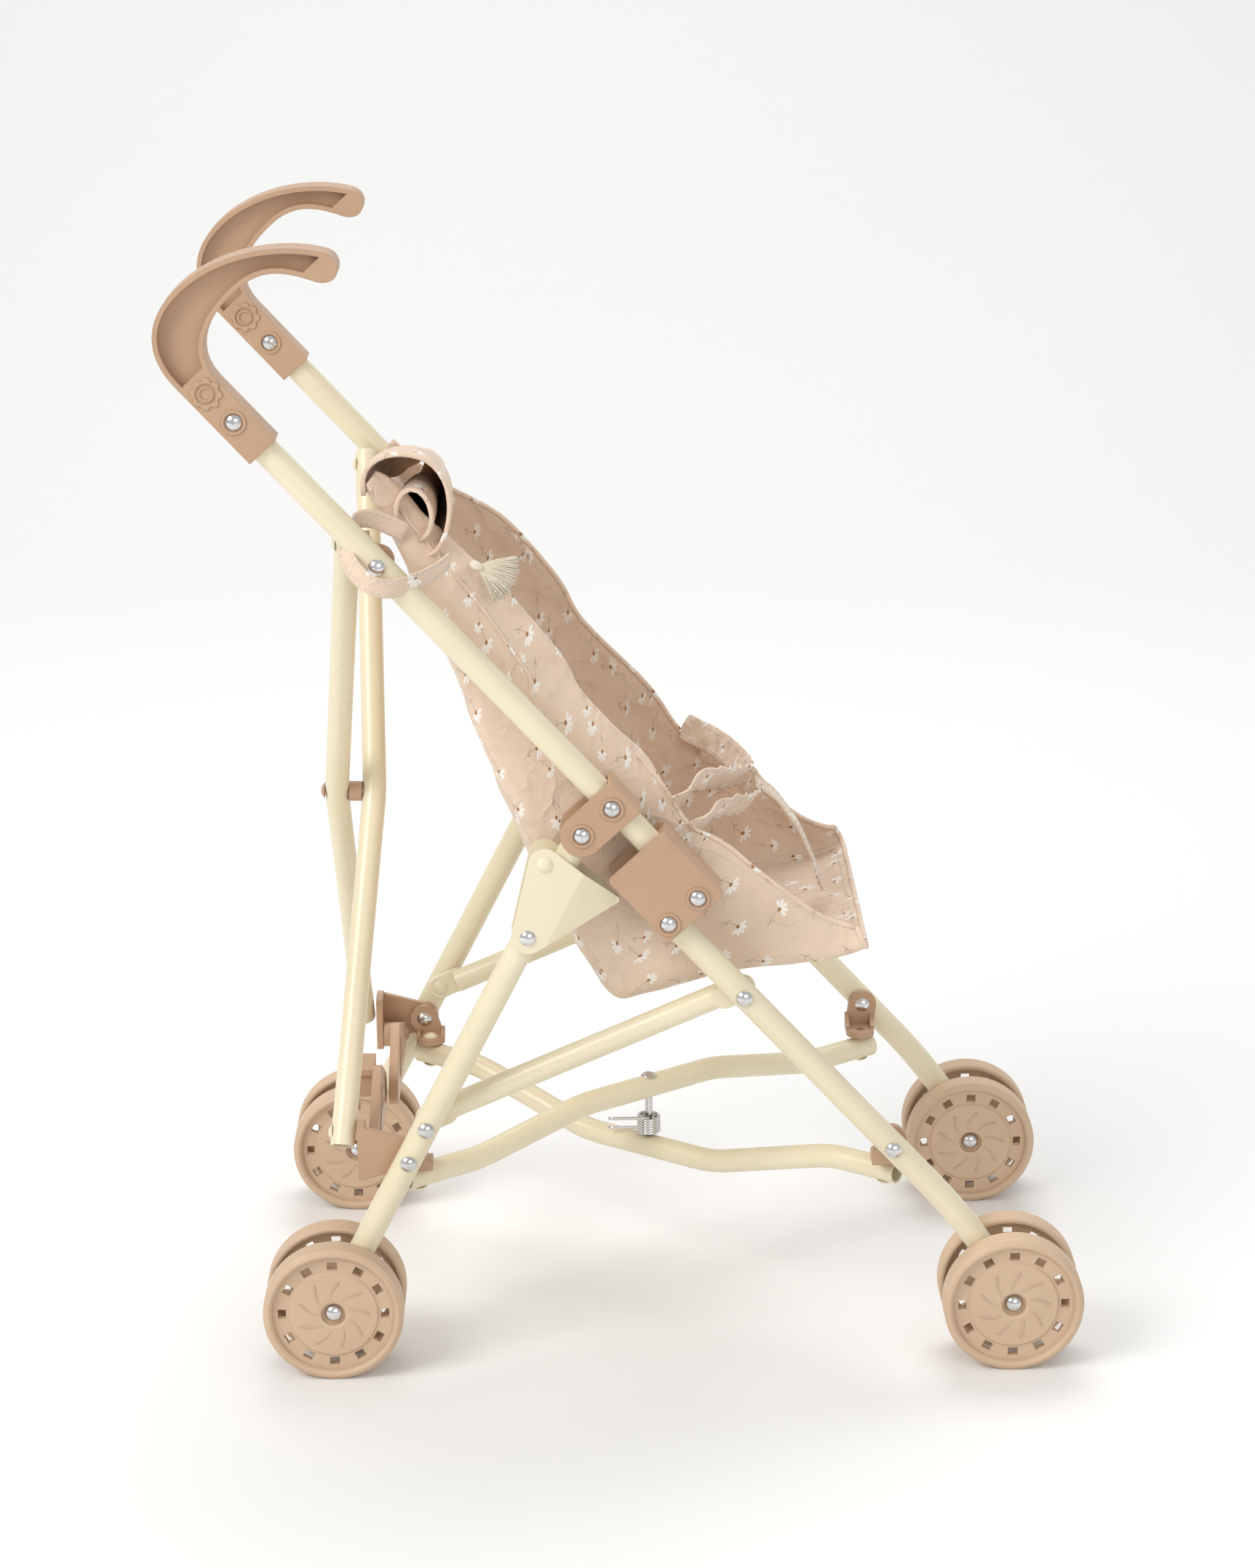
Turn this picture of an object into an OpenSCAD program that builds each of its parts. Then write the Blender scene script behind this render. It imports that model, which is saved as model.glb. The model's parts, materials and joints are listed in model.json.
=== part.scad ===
// Folding doll stroller: two mirrored side frames held apart by a bottom X, a rear X and
// a rear lock bar. Millimetres, +X forward, +Y to the doll's left, +Z up, standing on Z = 0.

/* [Overall] */
// Distance between the rear and front axles
wheelbase = 334; // [300:1:380]
// Distance between the left and right legs, centre to centre
track = 208; // [190:1:250]
// Outside diameter of every wheel
wheel_d = 69; // [56:1:76]
// Slope of the push tubes below the horizontal, in degrees
push_angle = 47.6; // [44:0.2:52]
// Knee pivot, ahead of the rear axle
knee_x = 179.6; // [165:0.1:200]
// Knee pivot, above the floor
knee_h = 244.7; // [225:0.1:270]

/* [Tubes] */
// Diameter of the push tubes and legs
main_d = 13; // [11:0.5:15]
// Diameter of the cross tubes and side struts
cross_d = 12; // [10:0.5:13]
// Wall of every tube
tube_wall = 1; // [0.8:0.1:2]

/* [Push tube stations, up from the knee pivot] */
// Rivet of the rear leg bracket
bracket_at = 60; // [50:1:75]
// Rivet of the rear cross knuckle
top_knuckle_at = 220; // [190:1:250]
// Rivet of the handle
handle_at = 314; // [280:1:360]
// How far the push tube runs on above the handle rivet
tube_above_rivet = 14; // [8:1:16]

/* [Front leg] */
// Distance from the push tube's axis down to the front leg's axis
leg_drop = 19; // [17:0.5:24]
// Strut rivet, down the leg from the stop rivet
front_strut_at = 54; // [45:1:70]
// Front knuckle rivet, down the leg from the stop rivet
front_knuckle_at = 162; // [140:1:175]
// Where the leg starts to bend down to its axle
front_bend_at = 190; // [180:1:200]

/* [Rear leg] */
// Distance from the push tube's axis down to the rear leg's pivot
bracket_drop = 19.5; // [17:0.5:24]
// Safety latch pivot, down the leg from its top pivot
latch_at = 57.6; // [50:0.1:70]
// Strut rivet, down the leg from its top pivot
rear_strut_at = 169; // [150:1:175]
// Rear knuckle rivet, down the leg from its top pivot
rear_knuckle_at = 188.5; // [182:0.5:200]
// How far each leg runs on past its axle or top pivot
leg_past = 7; // [5:0.5:9]

/* [Cross frames] */
// Height of the bottom cross tubes' ends
bottom_h = 91.5; // [85:0.5:95]
// Bottom cross tube pins, in from the leg's axis
bottom_pin_in = 20; // [18:0.5:26]
// Rear tube's rise from its ends to the crossing, for the upper bottom tube
upper_rise = 12.5; // [10:0.5:16]
// Drop from its ends to the crossing, for the lower bottom tube
lower_drop = 20.5; // [16:0.5:24]
// Rear cross tube pins, in from the leg's axis
rear_pin_in = 16; // [14:0.5:20]
// Rear cross tubes' top pins, behind the top knuckle rivet
top_pin_back = 14.8; // [13.5:0.1:20]
// Rear cross tubes' top pins, above the top knuckle rivet
top_pin_up = 6.8; // [4:0.1:10]
// Rear cross tubes' bottom pins, behind the rear knuckle rivet
low_pin_back = 32.6; // [30:0.1:36]
// Rear cross tubes' bottom pins, above the rear knuckle rivet
low_pin_up = 8.3; // [6:0.1:12]
// How far each rear cross tube bows away from the other at the crossing
rear_bow = 9.5; // [8:0.5:12]

/* [Knee block and bracket] */
// Length of the knee block up the push tube from the knee pivot
block_up = 36; // [30:1:42]
// Length of the knee block below the knee pivot
block_down = 7; // [6:0.5:9]
// Wall of the knee block and of its front web
block_wall = 2.2; // [1.8:0.1:3]
// Free width inside the knee block
block_inside = 18; // [17.6:0.1:22]
// Width of the bracket along the push tube
bracket_w = 20.6; // [18:0.2:24]
// Wall of the bracket
bracket_wall = 2.2; // [1.8:0.1:3]

/* [Wheels] */
// Width of one wheel
wheel_w = 13.3; // [11:0.1:16]
// Thickness of the tread band
tread_t = 3; // [2:0.1:4]
// Number of windows in each wheel
window_n = 12; // [8:1:16]
// Diameter of the axles
axle_d = 4.4; // [3.6:0.1:5]

/* [Handle] */
// Thickness of the handle, side to side
handle_t = 17; // [15.5:0.5:20]
// Width of the rim round the handle's recess
handle_rim = 2.4; // [1.8:0.1:3.5]
// Thickness of the web inside the rim
handle_web = 5; // [3:0.5:8]

/* [Fasteners and clearances] */
// Diameter of every rivet's shank
rivet_d = 4; // [3:0.1:4.5]
// Diameter of every rivet's head
rivet_head_d = 8; // [6.5:0.1:9]
// Height of a rivet's domed head
rivet_head_h = 2; // [1.2:0.1:3]
// Radial clearance of a shank in its hole
pin_clear = 0.05; // [0.02:0.01:0.09]
// Side gap between parts that turn on each other
side_gap = 0.3; // [0.25:0.05:0.5]
// Gap under a bottom cross tube's knuckle foot
foot_gap = 0.5; // [0.4:0.1:1.5]
// Gap over a bottom cross tube's front end, which hangs free under its knuckle
front_gap = 1.5; // [1.3:0.1:2.5]

/* [Seat] */
// Width of the fabric seat
seat_w = 172; // [150:1:180]
// Thickness of the fabric seat's solid
seat_t = 3; // [2:0.5:5]

/* [Hidden] */
$fn = 48;
eps = 0.01;
side_names = ["right", "left"];

cream = [0.88, 0.83, 0.70];
tan = [0.76, 0.62, 0.50];
wheel_tan = [0.79, 0.66, 0.55];
chrome = [0.78, 0.78, 0.80];
rose = [0.84, 0.72, 0.65];
ivory = [0.93, 0.89, 0.80];

main_r = main_d / 2;
cross_r = cross_d / 2;
wheel_r = wheel_d / 2;
rivet_r = rivet_d / 2;
head_r = rivet_head_d / 2;
bore_r = rivet_r + pin_clear;
leg_y = track / 2;
inner_face = leg_y - main_r - side_gap;    // first plane inboard of a leg
open_gap = 1.2;                            // clear space at an open cross tube end

// Directions in the side view, as [x, z]
down = [cos(push_angle), -sin(push_angle)];        // down the push tube
under = [-sin(push_angle), -cos(push_angle)];      // square to it, down and back
knee = [knee_x, knee_h];
stop = knee + leg_drop * under;
leg_top = knee - bracket_at * down + bracket_drop * under;
rear_hub = [0, wheel_r];
front_hub = [wheelbase, wheel_r];
rear_len = norm(rear_hub - leg_top);
rear_dir = (rear_hub - leg_top) / rear_len;
rear_angle = atan2(-rear_dir[1], rear_dir[0]);
front_strut = stop + front_strut_at * down;
rear_strut = leg_top + rear_strut_at * rear_dir;
front_pivot = stop + front_knuckle_at * down;
rear_pivot = leg_top + rear_knuckle_at * rear_dir;
top_pivot = knee - top_knuckle_at * down;

// Front leg's bend, from the straight part's end to the axle
hub_rel = front_hub - stop;
hub_along = hub_rel * down;
hub_under = hub_rel * under;
bend_half = atan2(hub_under, hub_along - front_bend_at);
bend_r = norm([hub_along - front_bend_at, hub_under]) / (2 * sin(bend_half));

// Handle outline in its own axes: [towards the front, up the tube], from the handle rivet
function bezier(p, t) = pow(1 - t, 3) * p[0] + 3 * t * pow(1 - t, 2) * p[1]
  + 3 * t * t * (1 - t) * p[2] + pow(t, 3) * p[3];
function curve(p, n) = [for (i = [0:n - 1]) bezier(p, i / n)];
sleeve_half = 8.2;
sleeve_down = 19;
hook_back = [[-sleeve_half, 30], [-sleeve_half, 50], [4, 61.5], [24, 61.5]];
hook_top = [[24, 61.5], [50, 61.5], [74, 44], [84.6, 27.2]];
hook_tip = [[84.6, 27.2], [89.5, 19], [79, 10.5], [72.6, 20.4]];
hook_under = [[72.6, 20.4], [65, 35], [58, 42.5], [42, 42.5]];
hook_inside = [[42, 42.5], [27, 42.5], [sleeve_half, 38], [sleeve_half, 18]];
handle_outline = concat([[-sleeve_half, -sleeve_down]], curve(hook_back, 14), curve(hook_top, 14),
  curve(hook_tip, 12), curve(hook_under, 10), curve(hook_inside, 12),
  [[sleeve_half, 18], [sleeve_half, -sleeve_down]]);
function handle_x(p) = knee_x - (handle_at + p[1]) * down[0] - p[0] * under[0];

// The whole object's middle, front to back
x_back = min([for (p = handle_outline) handle_x(p)]);
x_front = wheelbase + wheel_r;
x_shift = -(x_back + x_front) / 2;

// ---------- placing ----------
module side(right) {
  translate([x_shift, 0, 0]) mirror([0, right ? 0 : 1, 0]) children();
}
// Puts a part drawn round [0, 0] in the side view at point p of the right-hand leg plane
module at(p, y = -leg_y) { translate([p[0], y, p[1]]) children(); }
// Turns local +X down the push tube
module on_push() { at(knee) rotate([0, push_angle, 0]) children(); }
module on_front() { at(stop) rotate([0, push_angle, 0]) children(); }
module on_rear() { at(leg_top) rotate([0, rear_angle, 0]) children(); }

// ---------- shapes ----------
// Cylinder across the stroller, from y0 to y1
module cross_pin(r, y0, y1) { translate([0, y1, 0]) rotate([90, 0, 0]) cylinder(r = r, h = y1 - y0); }
// Cylinder along X, from x0 to x1
module x_pin(r, x0, x1) { translate([x0, 0, 0]) rotate([0, 90, 0]) cylinder(r = r, h = x1 - x0); }
// Outline given in the side view, thickened across the stroller from y0 to y1
module side_plate(y0, y1) {
  translate([0, y1, 0]) rotate([90, 0, 0]) linear_extrude(y1 - y0) children();
}
// Outline given in the front view (y, z), thickened from x0 to x1
module front_plate(x0, x1) {
  translate([x0, 0, 0]) rotate([90, 0, 90]) linear_extrude(x1 - x0) children();
}
function tangent(a, b) = let (d = [b[0] - a[0], b[1] - a[1]], t = atan2(d[1], d[0]),
  k = acos((a[2] - b[2]) / norm(d)))
  [[a[0] + a[2] * cos(t - k), a[1] + a[2] * sin(t - k)],
   [b[0] + b[2] * cos(t - k), b[1] + b[2] * sin(t - k)]];
// Plate outline round a list of circles [x, y, r], given anticlockwise
module round_plate(cs) {
  n = len(cs);
  polygon([for (i = [0:n - 1]) for (p = tangent(cs[i], cs[(i + 1) % n])) p]);
  for (c = cs) translate([c[0], c[1]]) circle(c[2]);
}
module round_box(x0, y0, x1, y1, r) {
  round_plate([[x0 + r, y0 + r, r], [x1 - r, y0 + r, r], [x1 - r, y1 - r, r], [x0 + r, y1 - r, r]]);
}
// Domed rivet head, flat side at z = 0
module dome(r = head_r, h = rivet_head_h) {
  ball = (r * r + h * h) / (2 * h);
  intersection() {
    translate([0, 0, h - ball]) sphere(ball);
    cylinder(r = r, h = h + 1);
  }
}
// Rivet across the stroller: shank from y0 to y1, with a head past each end that is asked for
module cross_rivet_at(p, y0, y1, out = true, inner = true) {
  at(p, 0) {
    cross_pin(rivet_r, y0, y1);
    if (out) translate([0, y0, 0]) rotate([90, 0, 0]) dome();
    if (inner) translate([0, y1, 0]) rotate([-90, 0, 0]) dome();
  }
}
// Bar along a run of pieces from [0, 0, 0] towards +X: [length] is straight and
// [radius, angle] bends, downwards where the angle is positive. A straight piece laps into
// its bends, which are a hair thinner, so that the pieces join as one solid.
lap = 0.3;
thin = 0.02;
module run(segs, r, i = 0, start = 0) {
  if (i < len(segs)) {
    s = segs[i];
    if (len(s) == 1) {
      x_pin(r, i == 0 ? -start : -lap, s[0] + (i == len(segs) - 1 ? start : lap));
      translate([s[0], 0, 0]) run(segs, r, i + 1, start);
    } else {
      up = s[1] < 0 ? 1 : -1;
      a = abs(s[1]);
      translate([0, 0, up * s[0]]) rotate([90, 0, 0]) rotate([0, 0, up > 0 ? -90 : 90 - a])
        rotate_extrude(angle = a) translate([s[0], 0]) circle(r - thin);
      translate([s[0] * sin(a), 0, up * s[0] * (1 - cos(a))]) rotate([0, s[1], 0])
        run(segs, r, i + 1, start);
    }
  }
}
module run_tube(segs, r) {
  difference() {
    run(segs, r);
    run(segs, r - tube_wall, 0, 1);
  }
}
module cross_bore(x, z = 0, r = bore_r, reach = 40) {
  translate([x, 0, z]) cross_pin(r, -reach, reach);
}
// Raised ring round a rivet, standing out from y0 by h towards -Y
ring_h = 0.6;
module rivet_ring(y0) {
  difference() {
    cross_pin(head_r + 1.8, y0 - ring_h, y0 + eps);
    cross_pin(head_r + 0.4, y0 - 2, y0 + 1);
  }
}

// ---------- push side ----------
module push_tube(right) color(cream) side(right) on_push() difference() {
  x_pin(main_r, -handle_at - tube_above_rivet, 5);
  x_pin(main_r - tube_wall, -handle_at - tube_above_rivet - 1, 6);
  for (x = [0, -bracket_at, -top_knuckle_at, -handle_at]) cross_bore(x);
}

pocket_from = 27.5;
flower_at = 18;
function unit(v) = v / norm(v);
function turned(v) = [v[1], -v[0]];
// Each point moved in along the outline's own normal
function inset(pts, w) = let (n = len(pts)) [for (i = [0:n - 1])
  pts[i] + w * turned(unit(pts[(i + 1) % n] - pts[(i + n - 1) % n]))];
module handle_view(pts) { polygon([for (p = pts) [-handle_at - p[1], p[0]]]); }
module flower() {
  petals = 8;
  difference() {
    union() {
      cross_pin(6.2, 0, 0.6);
      for (i = [0:petals - 1]) rotate([0, i * 360 / petals, 0]) translate([5.6, 0, 0]) cross_pin(2, 0, 0.6);
    }
    cross_pin(4.9, -1, 2);
  }
  difference() {
    cross_pin(3.7, 0, 0.6);
    cross_pin(2.7, -1, 2);
  }
}
module handle(right) color(tan) side(right) on_push() {
  difference() {
    side_plate(-handle_t / 2, handle_t / 2) handle_view(handle_outline);
    x_pin(main_r + pin_clear, -handle_at - tube_above_rivet - 0.2, -handle_at + sleeve_down + 1);
    cross_bore(-handle_at);
    for (y = [-handle_t / 2 - 1, handle_web / 2])
      intersection() {
        side_plate(y, y + 1 + (handle_t - handle_web) / 2) handle_view(inset(handle_outline, handle_rim));
        translate([-handle_at - 90, -20, -60]) cube([90 - pocket_from, 40, 200]);
      }
  }
  for (s = [0, 180]) rotate([s, 0, 0]) {
    translate([-handle_at - flower_at, -handle_t / 2 - 0.6 + eps, 0]) flower();
    translate([-handle_at, 0, 0]) rivet_ring(-handle_t / 2);
  }
}

module leg_bracket(right) color(tan) side(right) on_push() {
  half = bracket_w / 2;
  top = main_r + side_gap + bracket_wall;
  in_y = main_r + side_gap;
  difference() {
    union() {
      for (y = [-in_y - bracket_wall, in_y])
        side_plate(y, y + bracket_wall) {
          translate([-bracket_at, -bracket_drop]) circle(half);
          translate([-bracket_at - half, -bracket_drop]) square([bracket_w, bracket_drop + top]);
        }
      translate([-bracket_at - half, -in_y - eps, main_r + side_gap])
        cube([bracket_w, 2 * in_y + 2 * eps, bracket_wall]);
    }
    cross_bore(-bracket_at);
    cross_bore(-bracket_at, -bracket_drop);
  }
  for (s = [0, 1], z = [0, -bracket_drop]) mirror([0, s, 0])
    translate([-bracket_at, 0, z]) rivet_ring(-in_y - bracket_wall);
}

block_top = 10.5;
module knee_block(right) color(tan) side(right) on_push() {
  in_y = block_inside / 2;
  low = leg_drop + head_r + 2.5;
  difference() {
    union() {
      for (y = [-in_y - block_wall, in_y])
        side_plate(y, y + block_wall) round_box(-block_up, -low, block_down, block_top, 2.5);
      translate([-block_up + 2, -in_y - eps, block_top - block_wall])
        cube([block_up + block_down - 4, 2 * in_y + 2 * eps, block_wall]);
      // saddle that holds the push tube straight in the block
      translate([-block_up + 2, -in_y - eps, 1]) cube([5, 2 * in_y + 2 * eps, block_top - 2]);
    }
    x_pin(main_r + pin_clear, -block_up - 1, block_down + 1);
    cross_bore(0);
    cross_bore(0, -leg_drop);
  }
  for (s = [0, 1], z = [0, -leg_drop]) mirror([0, s, 0])
    translate([0, 0, z]) rivet_ring(-in_y - block_wall);
}

module push_rivets(right) color(chrome) side(right) translate([0, -leg_y, 0]) {
  block_y = block_inside / 2 + block_wall;
  bracket_y = main_r + side_gap + bracket_wall;
  cross_rivet_at(knee, -block_y, block_y);
  cross_rivet_at(stop, -block_y, block_y);
  cross_rivet_at(knee - bracket_at * down, -bracket_y, bracket_y);
  cross_rivet_at(leg_top, -bracket_y, bracket_y);
  cross_rivet_at(top_pivot, -main_r - 0.4, leg_y - inner_face + knuckle_t);
  cross_rivet_at(knee - handle_at * down, -handle_t / 2, handle_t / 2);
}

// ---------- front leg ----------
cheek_t = 1.9;
head_from = rivet_r + 0.6;
head_to = block_down - 0.4;
module front_leg(right) color(cream) side(right) on_front() difference() {
  front_run = [[front_bend_at - head_to], [bend_r, 2 * bend_half], [leg_past]];
  translate([head_to, 0, 0]) run_tube(front_run, main_r);
  cross_bore(front_strut_at);
  cross_bore(front_knuckle_at);
  translate([hub_along, 0, -hub_under]) cross_bore(0, 0, axle_d / 2 + pin_clear);
}
// Hinge piece in the leg's top: two cheeks beside the push tube, a crosshead and a plug
module leg_hinge(right) color(chrome) side(right) on_push() {
  in_y = main_r + 0.2;
  difference() {
    union() {
      for (y = [-in_y - cheek_t, in_y]) side_plate(y, y + cheek_t) {
        circle(5.4);
        polygon([[0, -5.4], [0, 0], [5.4, 0], [head_to, -12], [head_to, -leg_drop - 4],
          [head_from, -leg_drop - 4], [head_from, -7]]);
      }
      translate([head_from, -in_y - cheek_t, -leg_drop - 4.5])
        cube([head_to - head_from, 2 * (in_y + cheek_t), 10]);
      translate([0, 0, -leg_drop]) x_pin(main_r - tube_wall - 0.1, head_to - 0.5, head_to + 14);
    }
    cross_bore(0);
  }
}
module front_leg_rivets(right) color(chrome) side(right) translate([0, -leg_y, 0]) {
  cross_rivet_at(front_strut, -main_r - 0.4, leg_y - inner_face + strut_tab_t);
  cross_rivet_at(front_pivot, -main_r - 0.4, leg_y - inner_face + knuckle_t);
}

// ---------- rear leg ----------
module rear_leg(right) color(cream) side(right) on_rear() difference() {
  translate([-leg_past, 0, 0]) run_tube([[leg_past], [rear_len + leg_past]], main_r);
  for (x = [0, latch_at, rear_strut_at, rear_knuckle_at]) cross_bore(x);
  cross_bore(rear_len, 0, axle_d / 2 + pin_clear);
}
bracket_plate_t = 3;
module rear_leg_rivets(right) color(chrome) side(right) translate([0, -leg_y, 0]) {
  wing = main_r + latch_gap + latch_t;
  cross_rivet_at(leg_top + latch_at * rear_dir, -wing, wing);
  cross_rivet_at(rear_strut, -main_r - 0.4, main_r, true, false);
  cross_rivet_at(rear_pivot, -main_r - 0.4, leg_y - inner_face + bracket_plate_t + 0.3 + knuckle_t);
}

// ---------- side strut ----------
strut_tab_t = 5;
module side_strut(right) color(cream) side(right) {
  span = rear_strut - front_strut;
  len = norm(span);
  tab = 16;
  at(front_strut, -inner_face) rotate([0, atan2(-span[1], span[0]), 0]) difference() {
    union() {
      for (x = [0, len - tab]) side_plate(0, strut_tab_t) round_box(x - (x > 0 ? 0 : cross_r),
        -cross_r, x + tab + (x > 0 ? cross_r : 0), cross_r, cross_r - eps);
      translate([0, cross_r, 0]) difference() {
        x_pin(cross_r, tab - 6, len - tab + 6);
        x_pin(cross_r - tube_wall, tab, len - tab);
      }
    }
    cross_bore(0);
  }
  // the strut's own half of its rear rivet
  translate([0, -inner_face + strut_tab_t, 0]) at(rear_strut, 0) rotate([-90, 0, 0]) dome();
}

// ---------- safety latch ----------
latch_t = 1.2;
latch_gap = 0.5;
latch_stop = [20.9, -9.2];
latch_nose = [23.4, 29.7];
module safety_latch(right) color(cream) side(right) on_rear() {
  out = main_r + latch_gap + latch_t;
  inn = main_r + latch_gap;
  difference() {
    intersection() {
      side_plate(-out - 1, out + 1) round_plate([[latch_at, 0, 8], [latch_nose[0], latch_nose[1], 2],
        [latch_stop[0], latch_stop[1], 8]]);
      linear_extrude_x() difference() {
        polygon([[-out, -20], [-out, 9.5], [-1.3, 30], [-1.3, 33], [1.3, 33], [1.3, 30], [out, 9.5], [out, -20]]);
        polygon([[-inn, -21], [-inn, 9.2], [-0.3, 28], [0.3, 28], [inn, 9.2], [inn, -21]]);
      }
    }
    cross_bore(latch_at);
  }
  // rivet behind the leg that stops the latch
  translate([latch_stop[0], 0, latch_stop[1]]) {
    cross_pin(rivet_r, -out, out);
    for (s = [0, 1]) mirror([0, s, 0]) translate([0, -out + eps, 0]) rotate([90, 0, 0]) dome();
  }
}
module linear_extrude_x() { translate([-5, 0, 0]) rotate([90, 0, 90]) linear_extrude(90) children(); }

// ---------- knuckles of the bottom X ----------
knuckle_t = 3.6;
knuckle_r = 7.5;
foot_t = 3;
tube_top = bottom_h + cross_r;
pin_y = leg_y - bottom_pin_in;             // bottom cross pins, from the middle
module knuckle(p, x, face, gap) {
  // p is the rivet through the leg, x the cross tube's pin, face the plane it turns against
  foot_bottom = tube_top + gap;
  difference() {
    union() {
      at(p, -face) cross_pin(knuckle_r, 0, knuckle_t);
      translate([0, -face, 0]) side_plate(0, knuckle_t)
        polygon([[x - knuckle_r, foot_bottom], [x + knuckle_r, foot_bottom],
          [p[0] + knuckle_r, p[1]], [p[0] - knuckle_r, p[1]]]);
      translate([x, -pin_y, foot_bottom]) cylinder(r = knuckle_r, h = foot_t);
      translate([x - knuckle_r, -face, foot_bottom]) cube([2 * knuckle_r, face - pin_y, foot_t]);
      for (s = [-1, 1]) translate([x + s * (knuckle_r - 1), -face, 0]) side_rib(foot_bottom, p[1] - head_r - 1.2);
    }
    at(p, -face) cross_pin(bore_r, -1, knuckle_t + 1);
    translate([x, -pin_y, foot_bottom - 1]) cylinder(r = bore_r, h = foot_t + 2);
  }
}
// Triangular side wall from the plate to the foot's edge
module side_rib(foot_bottom, top) {
  translate([-1, 0, 0]) rotate([90, 0, 90]) linear_extrude(2)
    polygon([[0, foot_bottom], [knuckle_t + 9, foot_bottom], [knuckle_t + 9, foot_bottom + foot_t + 1],
      [knuckle_t, top], [0, top]]);
}
front_pin_x = front_pivot[0] - 1.8;
rear_pin_x = rear_pivot[0] + 3.4;
rear_face = inner_face - bracket_plate_t - 0.3;
module front_knuckle(right) color(tan) side(right) knuckle(front_pivot, front_pin_x, inner_face, front_gap);
module rear_knuckle(right) color(tan) side(right) knuckle(rear_pivot, rear_pin_x, rear_face, foot_gap);

// ---------- bottom X ----------
bottom_span = [front_pin_x - rear_pin_x, 2 * pin_y];
bottom_len = norm(bottom_span);
bottom_turn = atan2(bottom_span[1], bottom_span[0]);
bend_bottom = 70;
// Half of a bowed tube: a level end, a slope that rises or falls by h, a level middle
function half_run(h, a, end) = let (s = (abs(h) - 2 * bend_bottom * (1 - cos(a))) / sin(a),
  used = 2 * bend_bottom * sin(a) + s * cos(a), k = h > 0 ? -a : a)
  [[end + leg_past], [bend_bottom, k], [s], [bend_bottom, -k], [bottom_len / 2 - end - used]];
function both_halves(h) = concat(h, [for (i = [len(h) - 1:-1:0]) h[i]]);
module bottom_tube(h, a, end) {
  difference() {
    translate([-leg_past, 0, 0]) run_tube(both_halves(half_run(h, a, end)), cross_r);
    for (x = [0, bottom_len / 2, bottom_len]) translate([x, 0, -50]) cylinder(r = bore_r, h = 100);
  }
  // head under each end
  for (x = [0, bottom_len]) translate([x, 0, -cross_r + 0.4]) rotate([180, 0, 0]) dome();
}
module bottom_cross_tube_upper() color(cream) side(true) {
  translate([rear_pin_x, -pin_y, bottom_h]) rotate([0, 0, bottom_turn]) {
    bottom_tube(upper_rise, 11, 30);
    // pin in the rear knuckle
    translate([0, 0, -cross_r]) cylinder(r = rivet_r, h = 2 * cross_r + foot_gap + foot_t);
    translate([0, 0, cross_r + foot_gap + foot_t]) dome();
  }
}
module bottom_cross_tube_lower() color(cream) side(false) {
  translate([rear_pin_x, -pin_y, bottom_h]) rotate([0, 0, bottom_turn]) {
    bottom_tube(-lower_drop, 16, 22);
    translate([0, 0, -cross_r]) cylinder(r = rivet_r, h = 2 * cross_r + foot_gap + foot_t);
    translate([0, 0, cross_r + foot_gap + foot_t]) dome();
  }
}
mid_x = (front_pin_x + rear_pin_x) / 2;
spring_r = 6.2;
wire_d = 1.8;
spring_h = 11;
spring_base = bottom_h - lower_drop + cross_r + 1;
module cross_spring() color(chrome) translate([x_shift + mid_x, 0, spring_base]) {
  difference() {
    cylinder(r = spring_r, h = spring_h);
    translate([0, 0, -1]) cylinder(r = spring_r - wire_d, h = spring_h + 2);
  }
  for (s = [-1, 1]) rotate([0, 0, 180 + s * 14])
    translate([0, -s * (spring_r - wire_d / 2), s > 0 ? spring_h - wire_d / 2 : wire_d / 2])
      rotate([0, 90, 0]) cylinder(d = wire_d - 0.1, h = 24);
}
module cross_rivet() color(chrome) translate([x_shift + mid_x, 0, 0]) {
  top = bottom_h + upper_rise + cross_r;
  translate([0, 0, spring_base + 2]) cylinder(r = rivet_r, h = top - spring_base - 2);
  translate([0, 0, top]) dome();
}

// ---------- rear X ----------
top_pin = top_pivot + [-top_pin_back, top_pin_up];
low_pin = rear_pivot + [-low_pin_back, low_pin_up];
rear_pin_y = leg_y - rear_pin_in;
plane_vec = low_pin - top_pin;
plane_tilt = atan2(-plane_vec[0], -plane_vec[1]);       // lean of the rear X's plane from vertical
rear_len_x = norm([norm(plane_vec), 2 * rear_pin_y]);
rear_turn = atan2(2 * rear_pin_y, norm(plane_vec));
rear_kink = atan2(rear_bow, rear_len_x / 2);
top_gap = side_gap + (leg_past + 1) * tan(rear_kink);   // the tube's end leans towards its knuckle
// Local +X runs down the tube and local +Z is forward
module on_rear_x(y_sign) {
  at(top_pin, y_sign * rear_pin_y) rotate([0, plane_tilt, 0]) rotate([-y_sign * rear_turn, 0, 0])
    rotate([0, 90, 0]) children();
}
kink_r = 160;
module rear_tube(bow) {
  // bow > 0 pushes the crossing forward
  k = bow > 0 ? 1 : -1;
  half = rear_len_x / 2 / cos(rear_kink) - kink_r * tan(rear_kink);
  rotate([0, -k * rear_kink, 0]) translate([-leg_past, 0, 0])
    run_tube([[half + leg_past], [kink_r, 2 * k * rear_kink], [half + leg_past]], cross_r);
}
module rear_x_tube(y_sign, bow) {
  on_rear_x(y_sign) {
    difference() {
      rear_tube(bow);
      for (x = [0, rear_len_x / 2, rear_len_x]) translate([x, 0, -30]) cylinder(r = bore_r, h = 60);
    }
    // lower end's own rivet, flush with the front of the tube
    translate([rear_len_x, 0, -cross_r + 0.4]) {
      rotate([180, 0, 0]) dome();
      cylinder(r = rivet_r, h = 2 * cross_r - 0.6);
    }
  }
}
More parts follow.
